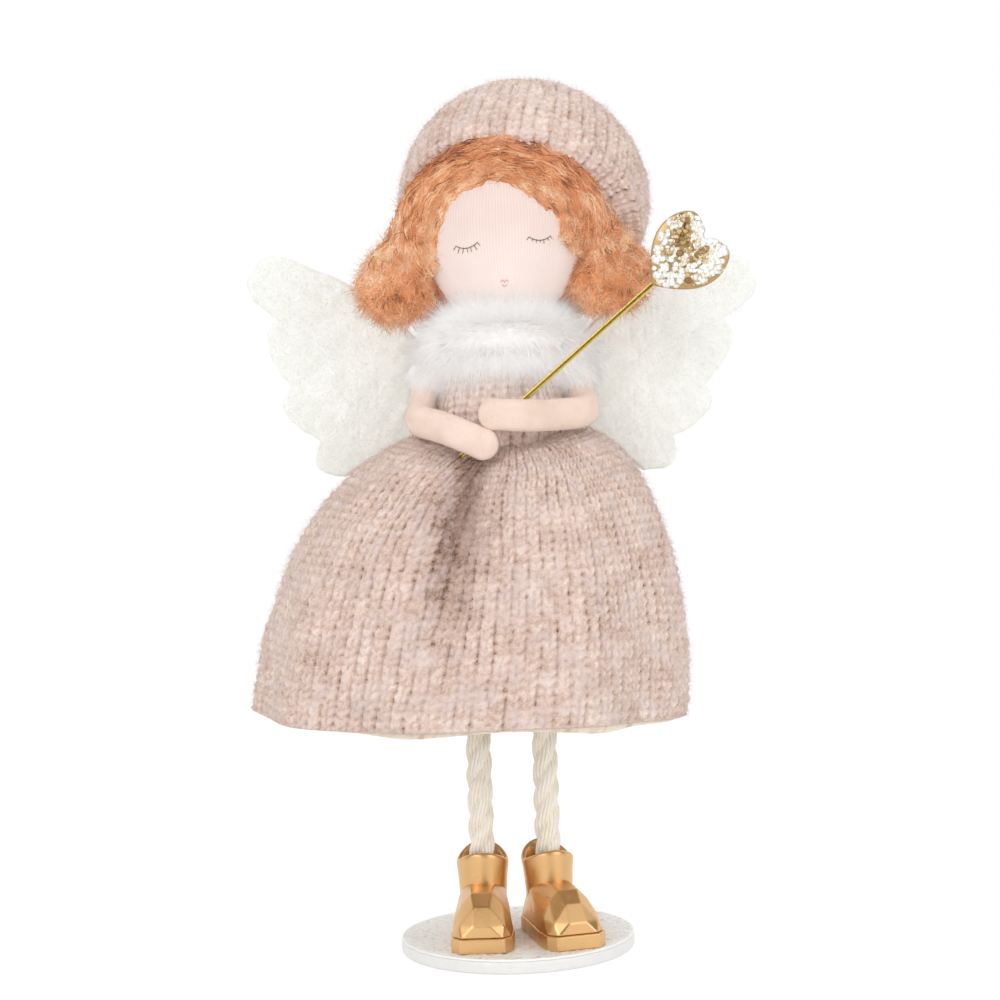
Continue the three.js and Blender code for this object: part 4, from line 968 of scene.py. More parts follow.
def head_surface(angle, lift):
    """An ellipse of the egg's width at each lift."""
    x = HEAD_HALF[0] * egg_half(lift) * np.cos(angle)
    y = HEAD_HALF[1] * egg_half(lift) * np.sin(angle)
    return HEAD_AT + join_xyz(x, y, HEAD_HALF[2] * lift)


angles = ring_angles(128)
neck_heights = np.linspace(NECK_LOW, NECK_TOP, 6)[:, None]
neck = HEAD_AT + join_xyz(NECK_RADIUS * np.cos(angles), NECK_RADIUS * np.sin(angles), neck_heights)
egg = head_surface(angles, -np.cos(np.linspace(np.radians(13), np.radians(178.5), 84))[:, None])
head_rings = np.concatenate([neck, egg])
x, y, z = np.moveaxis(head_rings - HEAD_AT, -1, 0)
from_cheek = np.hypot((np.abs(x) - CHEEK_AT[0]) / CHEEK_HALF[0], (z - CHEEK_AT[1]) / CHEEK_HALF[1])
cheek = np.exp(-(from_cheek**2)) * (y < 0)
# Lighter towards the chin: painted light against the shade of hair and beret. The cheeks are a little pinker,
# blush
head_tone = 0.43 + 0.34 * ease(-z, -4, 14) - 0.08 * cheek
head_parts = [skin(head_rings, head_tone)]
head = put_piece("jersey_head", "head", jersey_finish(), head_parts, ["head_cover", "head_core"])

# %% Eyes and mouth
EYES_AT = ((-9.9, -3.4), (9.9, -2.0))  # across and up from the middle of the head
EYE_WIDTH = 6.2
EYE_SAG = 1.15
EYE_TILT = np.radians(-4.2)
LID_RADIUS = 0.13
LASHES = 7
LASH_LENGTH = 1.7
LASH_RADIUS = 0.11
MOUTH_AT = (0.0, -14.0)
MOUTH_WIDTH = 2.3
LINE_PROUD = 0.05  # how far the middle of a drawn line stands out of the jersey


def on_face(x, z):
    """The front of the head's egg at a place across and up, a little proud of it."""
    lift = z / HEAD_HALF[2]
    half = egg_half(lift)
    y = -HEAD_HALF[1] * half * np.sqrt(1 - (x / (HEAD_HALF[0] * half)) ** 2)
    return HEAD_AT + join_xyz(x, y - LINE_PROUD, z)


def drawn_line(x, z, radius):
    """A thin tube through places on the face, from tip to tip."""
    return tubes(on_face(x, z)[None], radius, 6, 0.5)


def eye_lines(at, rng):
    """A sagging arc for the lid, z = sag·(u² - 1), and lashes that fan out unevenly under it."""
    def tilted(x, z):
        """A place on the eye, tilted and moved to where the eye is."""
        across, up = turned(x, z, -EYE_TILT)
        return at[0] + across, at[1] + up

    u = np.linspace(-1, 1, 15)
    lines = [drawn_line(*tilted(u * EYE_WIDTH / 2, EYE_SAG * (u**2 - 1)), LID_RADIUS)]
    for place in np.linspace(-0.95, 0.95, LASHES):
        start = np.array([place * EYE_WIDTH / 2, EYE_SAG * (place**2 - 1)])
        fan = unit(np.array([0.8 * place + rng.normal(0, 0.2), -1]))
        along = np.linspace(-0.3, LASH_LENGTH * rng.uniform(0.4, 1.1), 5)[:, None]
        x, z = (start + fan * along).T
        lines.append(drawn_line(*tilted(x, z), LASH_RADIUS))
    return lines


def ink_finish(name, shade):
    """Ink on jersey: a matt colour that the ribs break up a little."""
    finish, tree, shader = new_finish(name, 0.85)
    faint = tuple(0.75 * np.array(shade) + 0.25)
    worn = spread(tree, object_noise(tree, 0.5), 0.4, 0.65, 0.0, 0.5)
    tree.links.new(mix_colours(tree, worn, shade, faint), shader.inputs["Base Color"])
    return finish


rng = np.random.default_rng(45)
eyes = [line for at in EYES_AT for line in eye_lines(at, rng)]
put_piece("eye_lines", "head", ink_finish("lash_ink", colour(104, 98, 72)), eyes, slot="jersey")
u = np.linspace(-1, 1, 15)
mouth_half = MOUTH_WIDTH / 2
upper_z = MOUTH_AT[1] + 0.6 * np.abs(np.sin(np.pi * u)) + 0.15
lower_z = MOUTH_AT[1] - 0.35 - 0.5 * (1 - u**2)
upper_lip = drawn_line(MOUTH_AT[0] + u * mouth_half, upper_z, 0.15)
lower_lip = drawn_line(MOUTH_AT[0] + u * mouth_half * 0.6, lower_z, 0.17)
lips = [upper_lip, lower_lip]
put_piece("mouth", "head", ink_finish("lip_ink", colour(240, 160, 162)), lips, slot="jersey")

# %% [markdown]
# ## Hair
# The hair is brushed ginger yarn: an arched fringe, a frizzy bunch at each side and a roll round the nape.
# A lumpy core fills each form, and one more lies over the scalp between them. Their dark tone is painted
# shade, standing in for the shade deep among the strands. Over the cores lie hundreds of thin wavy strands:
# along the arch for the fringe, from its ends outwards and down for the bunches, and down from the beret's
# rim for the nape. Short fibres cover the sides of the scalp, and frizz stands over it all.


# %% Wavy strands
CORE_SIZE = 0.84  # a core's share of the form that the strands make
STRAND_STEPS = 14
HAIR_RADII = (0.1, 0.22)  # of the thinnest and the thickest strands
FRIZZ = {"length": (1.2, 3.6), "lift": (0.2, 0.9), "bend": 0.6, "radius": 0.045, "sink": 0}
FRIZZ_PULL = (0, 0, -0.1)

along_strand = np.linspace(0, 1, STRAND_STEPS)


def put_hair(name, parts, replaces=(), airy=False):
    """A piece of the doll's ginger hair."""
    put_piece(name, "head", ginger_yarn, parts, replaces, airy)


def lumpy(rings, height, size, seed):
    """Rings raised and sunk by smooth lumps of that height and size."""
    return rings + grid_facing(rings) * (height * lumps(rings, size, seed))[..., None]


def curled(points, size):
    """Points moved by a smooth random field, so that strands that lie together curl together."""
    field = join_xyz(*(lumps(points, 3.4, seed) for seed in (54, 55, 56)))
    finer = join_xyz(*(lumps(points, 1.7, seed) for seed in (57, 58, 59)))
    return points + size * (field + 0.5 * finer)


def hair_patches(points):
    """Tones of the hair by place: light and dark patches a few millimetres across, and painted shade
    under the beret.
    """
    shade = 0.32 * ease(points[..., 2] - HEAD_AT[2], 8, 20)
    fine = 0.4 * lumps(points, 2.0, 53) + 0.45 * lumps(points, 1.0, 61)
    return 0.64 + fine + 0.25 * lumps(points, 5.5, 60) - shade


def wavy(paths, rng, sway):
    """Thin tubes along paths (count, steps, 3), each swayed sideways by two random waves, the second nearly
    twice as fast. Tones follow lumps in space, so that dark and light patches run across neighbouring
    strands."""
    count, steps = paths.shape[:2]
    along = unit(np.gradient(paths, axis=1))
    length = np.cumsum(np.linalg.norm(np.diff(paths, axis=1, prepend=paths[:, :1]), axis=-1), axis=1)
    side = unit(np.cross(along, rng.normal(size=(count, 1, 3))))
    up = np.cross(along, side)
    turn = 2 * np.pi * (length / rng.uniform(5, 8, (count, 1)) + rng.random((count, 1)))
    size = rng.uniform(*sway, (count, 1))
    first = (size * np.sin(turn))[..., None] * side
    second = (0.7 * size * np.sin(1.7 * turn + 1))[..., None] * up
    thickness = rng.uniform(*HAIR_RADII, (count, 1))
    tones = np.clip(hair_patches(paths) + rng.uniform(-0.25, 0.25, (count, 1)), 0, 1)
    return tubes(paths + first + second, thickness, 3, tones, unit(paths[:, steps // 2] - HEAD_AT))


def place_tones(points):
    """Two ends, close together, that the tones of fibres at these places are drawn between."""
    patch = np.clip(hair_patches(points), 0.15, 0.85)[:, None]
    return patch - 0.15, patch + 0.15


def frizz(paths, rng, count):
    """Loose short fibres that start near points of the paths, in every direction, toned by their place."""
    steps = paths.reshape(-1, 3)
    roots = steps[rng.integers(0, len(steps), count)] + rng.normal(0, 0.8, (count, 3))
    outward = unit(roots - HEAD_AT + rng.normal(0, 6, (count, 3)))
    return fibres(roots, outward, rng, tone=place_tones(roots), pull=FRIZZ_PULL, **FRIZZ)


print("a strand runs through", STRAND_STEPS, "points")

# %% Fringe
FRINGE_HALF_WIDTH = 23.6
FRINGE_RISE = 18.8
FRINGE_OFFSET = 1.6
FRINGE_FORWARD = 5.8
FRINGE_LEAN = 0.38
FRINGE_HALF = np.array([5.4, 5.2])
FRINGE_BROW = 0.8  # how far the whole of it comes over the brow
FRINGE_DIP = 4.3  # how much further it comes over the brow on the doll's left
FRINGE_DIP_AT = 0.71  # share of the arch
FRINGE_DIP_HALF = 0.16
FRINGE_SHORT = 3.5  # how much less it comes over the brow at the doll's right
FRINGE_SHORT_TO = 0.22  # share of the arch
FRINGE_END = np.radians(26)
FRINGE_STRANDS = 1000
FRINGE_FRIZZ = 7000
HAIRLINE_POINTS = 400
HAIRLINE_FRIZZ = 3000
HEAD_ROLL = np.radians(-4.4)


def fringe_frame(share):
    """The arch at shares of its length, with its outward and upward directions."""
    angle = np.pi + FRINGE_END - (np.pi + 2 * FRINGE_END) * share
    x = FRINGE_HALF_WIDTH * np.cos(angle)
    z = FRINGE_OFFSET + FRINGE_RISE * np.sin(angle)
    rolled_x, rolled_z = turned(x, z, -HEAD_ROLL)
    arch = join_xyz(rolled_x, -FRINGE_FORWARD - FRINGE_LEAN * z, rolled_z)
    along = unit(np.gradient(arch, axis=-2))
    outward = unit(arch - dot(arch, along) * along)
    return arch, outward, np.cross(along, outward)


def fringe_lines(share, turn, size, above):
    """Lines along the arch, at an angle round its oval section and a share of its size. The section reaches
    further in over the brow on one side, by a bell curve, and less far at the other end. Nothing comes closer
    to the face than above."""
    arch, outward, upward = fringe_frame(share)
    dip = FRINGE_BROW + FRINGE_DIP * np.exp(-(((share - FRINGE_DIP_AT) / FRINGE_DIP_HALF) ** 2))
    dip = dip - FRINGE_SHORT * (1 - ease(share, 0, FRINGE_SHORT_TO))
    reach = size * (FRINGE_HALF[0] + dip * (np.cos(turn) < 0)) * np.cos(turn)
    lines = arch + outward * reach[..., None] + upward * (FRINGE_HALF[1] * size * np.sin(turn))[..., None]
    flat = (lines[..., ::2] / HEAD_HALF[::2]) ** 2
    face = -HEAD_HALF[1] * np.sqrt(np.maximum(0, 1.06 - flat.sum(-1))) - above
    lines[..., 1] = np.minimum(lines[..., 1], face)
    return HEAD_AT + lines


rng = np.random.default_rng(51)
core_share = np.linspace(0, 1, 60)[:, None] + np.zeros(20)
core = np.moveaxis(fringe_lines(core_share.T, ring_angles(20)[:, None], CORE_SIZE, 0.3), 0, 1)
core = lumpy(core, 0.7, 2.2, 52)
each = (FRINGE_STRANDS, 1)
start = rng.uniform(-0.22, 0.95, each)
strand_share = np.clip(start + rng.uniform(0.22, 0.4, each) * along_strand, 0, 1)
strand_share += 0.004 * along_strand
turn = rng.uniform(0, 2 * np.pi, each) + rng.uniform(-0.8, 0.8, each) * along_strand
strand_size = rng.uniform(0.82, 1.12, each)
above = rng.uniform(0.6, 2.6, each)
strand_lines = curled(fringe_lines(strand_share, turn, strand_size, above), 0.9)
# The core's dark tone is painted shade, the depth among the strands
fringe_core = skin(core, 0.26 + 0.25 * lumps(core, 2.0, 53))
put_hair("yarn_fringe", [fringe_core], ["hair_fringe"])
hairline_share = np.linspace(0.02, 0.98, HAIRLINE_POINTS)[None]
hairline_turn = np.pi + rng.uniform(-0.5, 0.5, (1, HAIRLINE_POINTS))
hairline = fringe_lines(hairline_share, hairline_turn, 0.98, 0.8)
fringe_wavy = wavy(strand_lines, rng, (0.3, 0.9))
fringe_frizz = frizz(strand_lines, rng, FRINGE_FRIZZ)
put_hair("fringe_strands", [fringe_wavy, fringe_frizz, frizz(hairline, rng, HAIRLINE_FRIZZ)], airy=True)

# %% Bunches
# Each bunch's middle, from the middle of the head, and its three half sizes
BUNCHES = {
    "hair_left": ((28.8, -2.5, -8.5), (12.8, 8.4, 15)),
    "hair_right": ((-30.5, -2.5, -10.5), (11.6, 8.4, 14)),
}
BUNCH_FLARE = 0.22
BUNCH_TOP = np.array([24, -7, 5.0])  # where the fringe ends, mirrored for the other side
BUNCH_STRANDS = 1000
BUNCH_FIBRES = 3500
BUNCH_FLUFF = {"length": (1.5, 4.0), "lift": (0.05, 0.5), "bend": 0.9, "radius": 0.08, "pull": (0, 0, -0.1)}
BUNCH_FRIZZ = 5000


def flared_ball(lift, around):
    """A ball that widens towards its foot: a circle at each lift from -1 to 1, its radius less by flare·lift,
    and drawn in further above its middle."""
    reach = np.sqrt(1 - lift**2) * (1 - BUNCH_FLARE * lift) * (1 - 0.45 * ease(lift, -0.1, 0.8))
    return join_xyz(reach * np.cos(around), reach * np.sin(around), lift)


def lumpy_ball(at, half, seed):
    """The rings of a flared ball with large and small lumps, and their tones, with painted shade that darkens
    the dents.
    """
    lift = -np.cos(np.linspace(0.12, np.pi - 0.12, 44))[:, None]
    rings = HEAD_AT + at + half * flared_ball(lift, ring_angles(72))
    curls = lumps(rings, 1.6, seed + 2)
    rings = rings + grid_facing(rings) * (1.0 * lumps(rings, 3.4, seed) + 0.6 * curls)[..., None]
    return rings, 0.3 + 0.25 * lumps(rings, 2.0, 53) + 0.2 * curls


def bend_lines(start, middle, end, steps):
    """Quadratic curves from start to end, pulled towards middle."""
    t = np.linspace(0, 1, steps)[:, None]
    return (1 - t) ** 2 * start[:, None] + 2 * t * (1 - t) * middle[:, None] + t**2 * end[:, None]


for seed, (name, (at, half)) in enumerate(BUNCHES.items()):
    rng = np.random.default_rng(61 + seed)
    at, half = np.array(at), np.array(half)
    count = BUNCH_STRANDS
    around = rng.uniform(0, 2 * np.pi, count)
    size = rng.uniform(0.84, 1.05, (count, 1))
    end = at + half * size * flared_ball(rng.uniform(-1, 0.7, count), around)
    over = at + half * size * flared_ball(np.full(count, 0.35), around + rng.normal(0, 0.3, count))
    top = BUNCH_TOP * np.array([np.sign(at[0]), 1, 1]) + rng.normal(0, 2.2, (count, 3))
    bunch_lines = curled(HEAD_AT + bend_lines(top, over, end, STRAND_STEPS), 1.4)
    # The core's dark tone is painted shade, the depth among the strands
    core, core_tone = lumpy_ball(at, CORE_SIZE * half, 63 + seed)
    put_hair("yarn_" + name, [skin(core, core_tone)], [name])
    roots, facing = scatter(core, grid_facing(core), BUNCH_FIBRES, rng)
    fluff = fibres(roots, facing, rng, tone=place_tones(roots), knots=4, **BUNCH_FLUFF)
    bunch_parts = [wavy(bunch_lines, rng, (0.4, 1.1)), fluff, frizz(bunch_lines[:, 5:], rng, BUNCH_FRIZZ)]
    put_hair(name + "_strands", bunch_parts, airy=True)

# %% Nape and scalp
NAPE_HALF = np.array([24.5, 19])
NAPE_DROP = 12.5
NAPE_SECTION_HALF = np.array([4.6, 7.5])
SCALP_AT = np.array([0, 3.6, 0])
SCALP_HALF = np.array([23.9, 21.8, 22.6])
NAPE_STRANDS = 700
NAPE_FRIZZ = 4000
SIDE_FIBRES = 5500
SIDE_HAIR = {"length": (2.0, 5.0), "lift": (0.05, 0.4), "bend": 0.7, "radius": 0.09, "pull": (0, 0, -0.4)}
SIDE_TOP = 20


def nape_place(angle, section, size):
    """The roll round the back of the head: an oval section at each angle of half a turn."""
    reach = NAPE_HALF[:, None, None] + NAPE_SECTION_HALF[0] * size * np.cos(section)
    height = -NAPE_DROP + NAPE_SECTION_HALF[1] * size * np.sin(section)
    return HEAD_AT + join_xyz(reach[0] * np.cos(angle), reach[1] * np.sin(angle), height)


rng = np.random.default_rng(71)
core = nape_place(np.linspace(np.pi, 0, 60)[:, None], ring_angles(20), CORE_SIZE)
core = lumpy(core, 0.7, 2.2, 72)
each = (NAPE_STRANDS, 1)
angle = np.pi * rng.random(each) + rng.uniform(-0.15, 0.15, each) * along_strand
section = np.linspace(np.radians(110), np.radians(-100), STRAND_STEPS) * rng.uniform(0.8, 1.1, each)
nape_lines = curled(nape_place(angle, section, rng.uniform(0.82, 1.05, each)), 1.2)
# The core's dark tone is painted shade, the depth among the strands
nape_core = skin(core, 0.28 + 0.25 * lumps(core, 2.0, 53))
lift = -np.cos(np.linspace(0.2, np.pi - 0.2, 40))[:, None]
reach = np.sqrt(1 - lift**2)
ball_angle = ring_angles(96)
ball = join_xyz(reach * np.cos(ball_angle), reach * np.sin(ball_angle), lift)
scalp = lumpy(HEAD_AT + SCALP_AT + SCALP_HALF * ball, 0.5, 2.0, 73)
# The scalp's dark tone is painted shade under the strands
under_hair = skin(scalp, 0.35 + 0.3 * lumps(scalp, 2.0, 53))
put_hair("yarn_nape", [nape_core, under_hair], ["hair_back"])
roots, facing = scatter(scalp, grid_facing(scalp), SIDE_FIBRES, rng)
outside = (roots[:, 1] > -1) & (roots[:, 2] < HEAD_AT[2] + SIDE_TOP)
roots, facing = roots[outside], facing[outside]
side_hair = fibres(roots, facing, rng, tone=place_tones(roots), knots=4, **SIDE_HAIR)
nape_parts = [wavy(nape_lines, rng, (0.4, 1.1)), frizz(nape_lines, rng, NAPE_FRIZZ), side_hair]
put_hair("nape_strands", nape_parts, airy=True)

# %% [markdown]
# ## Arms
# The arms are flat stuffed tubes of peach felt that cross in front of the wand. A smooth line runs through
# shoulder, elbow and hand, and a flattened oval, rounded off at both ends, is carried along it.


# %% A smooth line
def smooth_line(points, places):
    """A centripetal Catmull-Rom curve through points, at shares of its length. Knots lie as far apart as the
    square root of the distance between points, and each stretch blends the lines through its four points."""
    points = np.array(points, float)
    ends = np.concatenate([[2 * points[0] - points[1]], points, [2 * points[-1] - points[-2]]])
    knots = np.concatenate([[0], np.cumsum(np.sqrt(np.linalg.norm(np.diff(ends, axis=0), axis=1)))])
    t = np.linspace(knots[1], knots[-2], 600)
    first = np.clip(np.searchsorted(knots, t, side="right") - 2, 0, len(points) - 2)

    def between(a, b, i, j):
        """The line from a to b, by the place of t between two knots."""
        low, high = knots[first + i], knots[first + j]
        share = ((t - low) / (high - low))[:, None]
        return a * (1 - share) + b * share

    p = [ends[first + i] for i in range(4)]
    lines = [between(p[i], p[i + 1], i, i + 1) for i in range(3)]
    bends = [between(lines[i], lines[i + 1], i, i + 2) for i in range(2)]
    curve = between(bends[0], bends[1], 1, 2)
    length = lengths_along(curve)
    spaced = [np.interp(places * length[-1], length, curve[:, axis]) for axis in range(3)]
    return np.stack(spaced, axis=-1), length[-1]


print("a line through three corners is", smooth_line(np.eye(3), np.array([0, 1]))[1].round(3), "long")

# %% Arms
STEM_RADIUS = 0.75
GRIP = np.array([-1.5, -19.65, 3.7])
WAND_RISE = np.radians(39.7)
WAND_LEAN = np.radians(5.6)
HAND_GAP = 0.3
ARM_HALF_THICKNESS = 3.5
HAND_HALF_THICKNESS = 2.3
ARM_HALF_HEIGHT = 4.3
ARM_END_ROUND = 4.2
ARM_FIBRES = 2500
ARM_NAP = {"length": (0.4, 0.9), "lift": (0.1, 0.5), "bend": 0.4, "radius": FUZZ_RADIUS, "sink": 0.1}
ARM_NAP_TONE = (0.4, 0.8)
# Each arm's line from shoulder to wrist, from the middle of the waist
ARM_LINES = {
    "left_arm": [(21.8, -1, 20.4), (21.8, -3.2, 12), (22.4, -10, 7), (14, -18, 5.3)],
    "right_arm": [(-21.8, -1, 20.4), (-22.0, -3.2, 12), (-23.3, -9.5, 6), (-18, -16.6, 3.4)],
}
# Where the line goes on through the hand, across and up. Its depth follows the wand
HANDS = {"left_arm": [(6, 5.2), (-2.5, 5.8), (-6.8, 6.3)], "right_arm": [(-12.3, 1), (-6, -2), (-1.9, -3.7)]}


def arm_rings(name):
    """The arm's oval, carried along its line. Its flat side faces the bodice, and its hand lies in front of
    the wand, which leans forward."""
    forward = np.tan(WAND_LEAN) / np.cos(WAND_RISE)
    before_wand = STEM_RADIUS + HAND_GAP + HAND_HALF_THICKNESS
    hand = [(x, GRIP[1] - (x - GRIP[0]) * forward - before_wand, z) for x, z in HANDS[name]]
    places = (1 - np.cos(np.linspace(0, np.pi, 70))) / 2
    line, length = smooth_line(ARM_LINES[name] + hand, places)
    along = unit(np.gradient(line, axis=0))
    side = unit(line / np.array([BODICE_HALF_WIDTH, BODICE_HALF_DEPTH, np.inf]))
    up = unit(np.cross(along, side))
    side = np.cross(up, along)
    from_end = np.minimum(places, 1 - places) * length
    rounding = np.sqrt(np.maximum(0.003, 1 - np.maximum(0, 1 - from_end / ARM_END_ROUND) ** 2))
    thickness = ARM_HALF_THICKNESS + (HAND_HALF_THICKNESS - ARM_HALF_THICKNESS) * ease(places, 0.3, 0.7)
    around = ring_angles(48)
    flat_cos = np.sign(np.cos(around)) * np.abs(np.cos(around)) ** 0.8
    flat_sin = np.sign(np.sin(around)) * np.abs(np.sin(around)) ** 0.8
    across = side[:, None] * ((thickness * rounding)[:, None] * flat_cos)[..., None]
    upward = up[:, None] * ((ARM_HALF_HEIGHT * rounding)[:, None] * flat_sin)[..., None]
    return WAIST_AT + line[:, None] + across + upward


for seed, name in enumerate(ARM_LINES):
    rings = arm_rings(name)
    facing = grid_facing(rings)
    rings = rings + facing * (0.15 * lumps(rings, 3.0, 81 + seed))[..., None]
    rng = np.random.default_rng(83 + seed)
    roots, root_facing = scatter(rings, facing, ARM_FIBRES, rng)
    nap = fibres(roots, root_facing, rng, tone=ARM_NAP_TONE, **ARM_NAP)
    arm_parts = [skin(rings, 0.5 + 0.12 * lumps(rings, 4.0, 85)), nap]
    arm = put_piece("felt_" + name, name, peach_felt, arm_parts, [name])

# %% [markdown]
# Fur from the collar hangs over the front of both shoulders. It follows the tops of the arms at rest, but it
# belongs to the collar, so it stays with the body when an arm swings.

# %% Shoulder fur
SHOULDER_RINGS = 15  # the rings of an arm that the fur covers
SHOULDER_STRANDS = 7000  # for each shoulder, before those at the back and outside are left out
SHOULDER_FUR = {"length": (2.5, 6.0), "lift": (0.05, 0.4), "bend": 0.3, "pull": (0, 0, -0.6)}

rng = np.random.default_rng(87)
shoulder_fur = []
for name in ARM_LINES:
    cap = arm_rings(name)[:SHOULDER_RINGS]
    roots, facing = scatter(cap, grid_facing(cap), SHOULDER_STRANDS, rng)
    ahead = (facing[:, 1] < 0.25) & (np.sign(cap[0, 0, 0]) * facing[:, 0] < 0.5)
    roots, facing = roots[ahead], facing[ahead]
    level = unit(facing + (0, 0, 0.9))
    shoulder_fur.append(fibres(roots, facing, rng, lit=level, **SHOULDER_FUR, **FUR))
put_piece("shoulder_fur", "body", white_fur, shoulder_fur, airy=True)

# %% [markdown]
# ## Wings
# Each wing is a piece of white curly plush, cut with scallops and sewn to felt. Its outline is a curve along
# the top, then five arcs. Rings scaled down towards the middle fill the front, and lumps raise it to locks
# of pile.

# %% Outline of the wings
WING_HINGE = 1.2
WING_SWEEP = np.radians(8)
WING_DEPTH = 16.8
WING_ROOT = ((1.6, 4), (1.6, 14.5))
WING_TOP_EDGE = [(12, 17.5), (22, 27), (33, 37.5), (44, 45.2), (56, 50.4)]
# The middle and the end of each arc
WING_SCALLOPS = [
    ((67, 54.6), (72.4, 50.4)),
    ((73.6, 43.5), (65, 35.5)),
    ((69, 28.5), (62, 15.6)),
    ((64, 8.4), (54, -0.4)),
    ((55, -8), (46.6, -10.9)),
]
WING_LOWER_EDGE = (26, 1.2)
WING_MIDDLE = np.array([40, 22])
WING_PIVOT = np.array([1.6, 9.25])
# Each wing's side, its turn down, and how far it is drawn inwards and raised
SEWN_ON = {"left_wing": (1, np.radians(7.8), 2.7, 7.2), "right_wing": (-1, 0.0, 0.0, 2.3)}


def sewn_place(name, points, share):
    """Points of the cut outline, moved by a share of the way to where the wing is sewn on: turned down about
    the middle of its root, drawn inwards and raised."""
    _, turn, inset, height = SEWN_ON[name]
    points = np.array(points, float)
    out, up = np.moveaxis(points - WING_PIVOT, -1, 0)
    hung = WING_PIVOT + np.stack(turned(out, up, -turn), axis=-1) + (-inset, height)
    return points + (hung - points) * np.asarray(share)[..., None]


def wing_outline(name, count):
    """The outline in the wing's own plane: root, smooth top edge, arcs over the scallops and lower edge."""
    moved = np.linspace(0, 1, len(WING_TOP_EDGE))
    edge = np.concatenate([WING_ROOT[1:], sewn_place(name, WING_TOP_EDGE, moved)])
    top = smooth_line(np.insert(edge, 1, 0, axis=1), np.linspace(0, 1, 60))[0][:, ::2]
    stretches = [np.array(WING_ROOT, float), top]
    start = top[-1]
    for over, end in sewn_place(name, WING_SCALLOPS, 1.0):
        pulled = 2 * over - (start + end) / 2
        stretches.extend(bend_lines(start[None], pulled[None], end[None], 30))
        start = end
    stretches.append(np.array([sewn_place(name, WING_LOWER_EDGE, 0.5), WING_ROOT[0]]))
    line = np.concatenate(stretches)
    length = lengths_along(line)
    places = np.linspace(0, length[-1], count, endpoint=False)
    return np.stack([np.interp(places, length, line[:, axis]) for axis in range(2)], axis=-1)


def wing_rings(name, sizes, depths, count=360):
    """Outlines scaled towards the wing's middle, each at a depth, swung back from the hinge."""
    side = SEWN_ON[name][0]
    outline = wing_outline(name, count)
    flat = WING_MIDDLE + np.array(sizes)[:, None, None] * (outline - WING_MIDDLE)
    x = side * (flat[..., 0] - WING_HINGE)
    y = np.broadcast_to(np.array(depths)[:, None], x.shape)
    swung_x, swung_y = turned(x, y, side * WING_SWEEP)
    return WAIST_AT + join_xyz(swung_x + side * WING_HINGE, swung_y + WING_DEPTH, flat[..., 1])


print("the left wing reaches", wing_outline("left_wing", 360).max(0).round(1), "mm out and up")

# %% Plush and felt
WING_PLUSH_HALF = 1.5
BACKING_INSET = 0.97
BACKING_FACES = (1.8, 3.0)
PLUSH_FRONT_ROWS = 44
PILE_FIBRES = 10500
PILE = {"length": (0.6, 1.4), "lift": (0.2, 0.7), "bend": 0.8, "radius": 0.06, "pull": (0, 0, -0.15)}

back_sizes = [0.02, 0.5, 0.9, 0.985]
edge_sizes = [0.997, 1.0, 1.0, 0.99]
edge_depths = [1.1, 0.4, -0.6, -1.2]
front_sizes = np.linspace(0.965, 0.02, PLUSH_FRONT_ROWS)
front_depths = np.full(PLUSH_FRONT_ROWS, -WING_PLUSH_HALF)
back_rows = len(back_sizes)
edge_rows = len(edge_sizes)
plush_sizes = np.concatenate([back_sizes, edge_sizes, front_sizes])
plush_depths = np.concatenate([[WING_PLUSH_HALF] * back_rows, edge_depths, front_depths])
for name in SEWN_ON:
    rings = wing_rings(name, plush_sizes, plush_depths)
    front = rings[back_rows:]
    front_facing = grid_facing(rings)[back_rows:]
    front_facing *= np.sign(-front_facing[-20:, :, 1].mean())
    locks = 0.35 * lumps(front, 3.2, 91) + 0.3 * np.abs(lumps(front, 1.9, 92))
    front += front_facing * locks[..., None]
    tone = np.full(rings.shape[:2], 0.5)
    # The tone rises with the locks' height: painted shade in the hollows between them
    tone[back_rows:] += 0.3 * locks
    wing = put_piece(name + "_plush", name, white_plush, [skin(rings, tone)], [name])
    rng = np.random.default_rng(93)
    roots, facing = scatter(front[edge_rows:], front_facing[edge_rows:], PILE_FIBRES, rng)
    ahead = unit(0.4 * facing + (0, -0.8, 0))
    pile = fibres(roots, facing, rng, tone=(0.35, 1), lit=ahead, **PILE)
    wing_pile = put_piece(name + "_pile", name, white_plush, [pile], airy=True)
    backing_sizes = BACKING_INSET * np.array([0.02, 0.5, 1.0, 1.0, 0.5, 0.02])
    backing_depths = [BACKING_FACES[0]] * 3 + [BACKING_FACES[1]] * 3
    backing_rings = wing_rings(name, backing_sizes, backing_depths, 240)
    backing_parts = [skin(backing_rings, 0.6 + 0.15 * lumps(backing_rings, 5.0, 94))]
    backing = put_piece(name + "_felt", name, cream_felt, backing_parts, [name + "_backing"])

# %% [markdown]
# ## Wand
# The wand is a brass wire with a groove along each side. A bump in the finish could only shade the grooves,
# and their edges catch the light, so they are dents in its rings, darkened further with painted shade.

# %% Wand wire
STEM_TAIL = -69
STEM_TIP = 5.7
GRIP_TO_HEART = 55

upright = np.cos(WAND_LEAN)
wand_along = np.array([upright * np.cos(WAND_RISE), -np.sin(WAND_LEAN), upright * np.sin(WAND_RISE)])
wand_out = unit(np.array([0, -1, 0]) + wand_along * wand_along[1])
wand_across = np.cross(wand_out, wand_along)
heart_point = WAIST_AT + GRIP + GRIP_TO_HEART * wand_along


def wand_place(along, across, out):
    """A place in the wand's own axes: along the wire, across the heart and out of its face."""
    along, across, out = (np.asarray(value, float)[..., None] for value in (along, across, out))
    return heart_point + along * wand_along + across * wand_across + out * wand_out


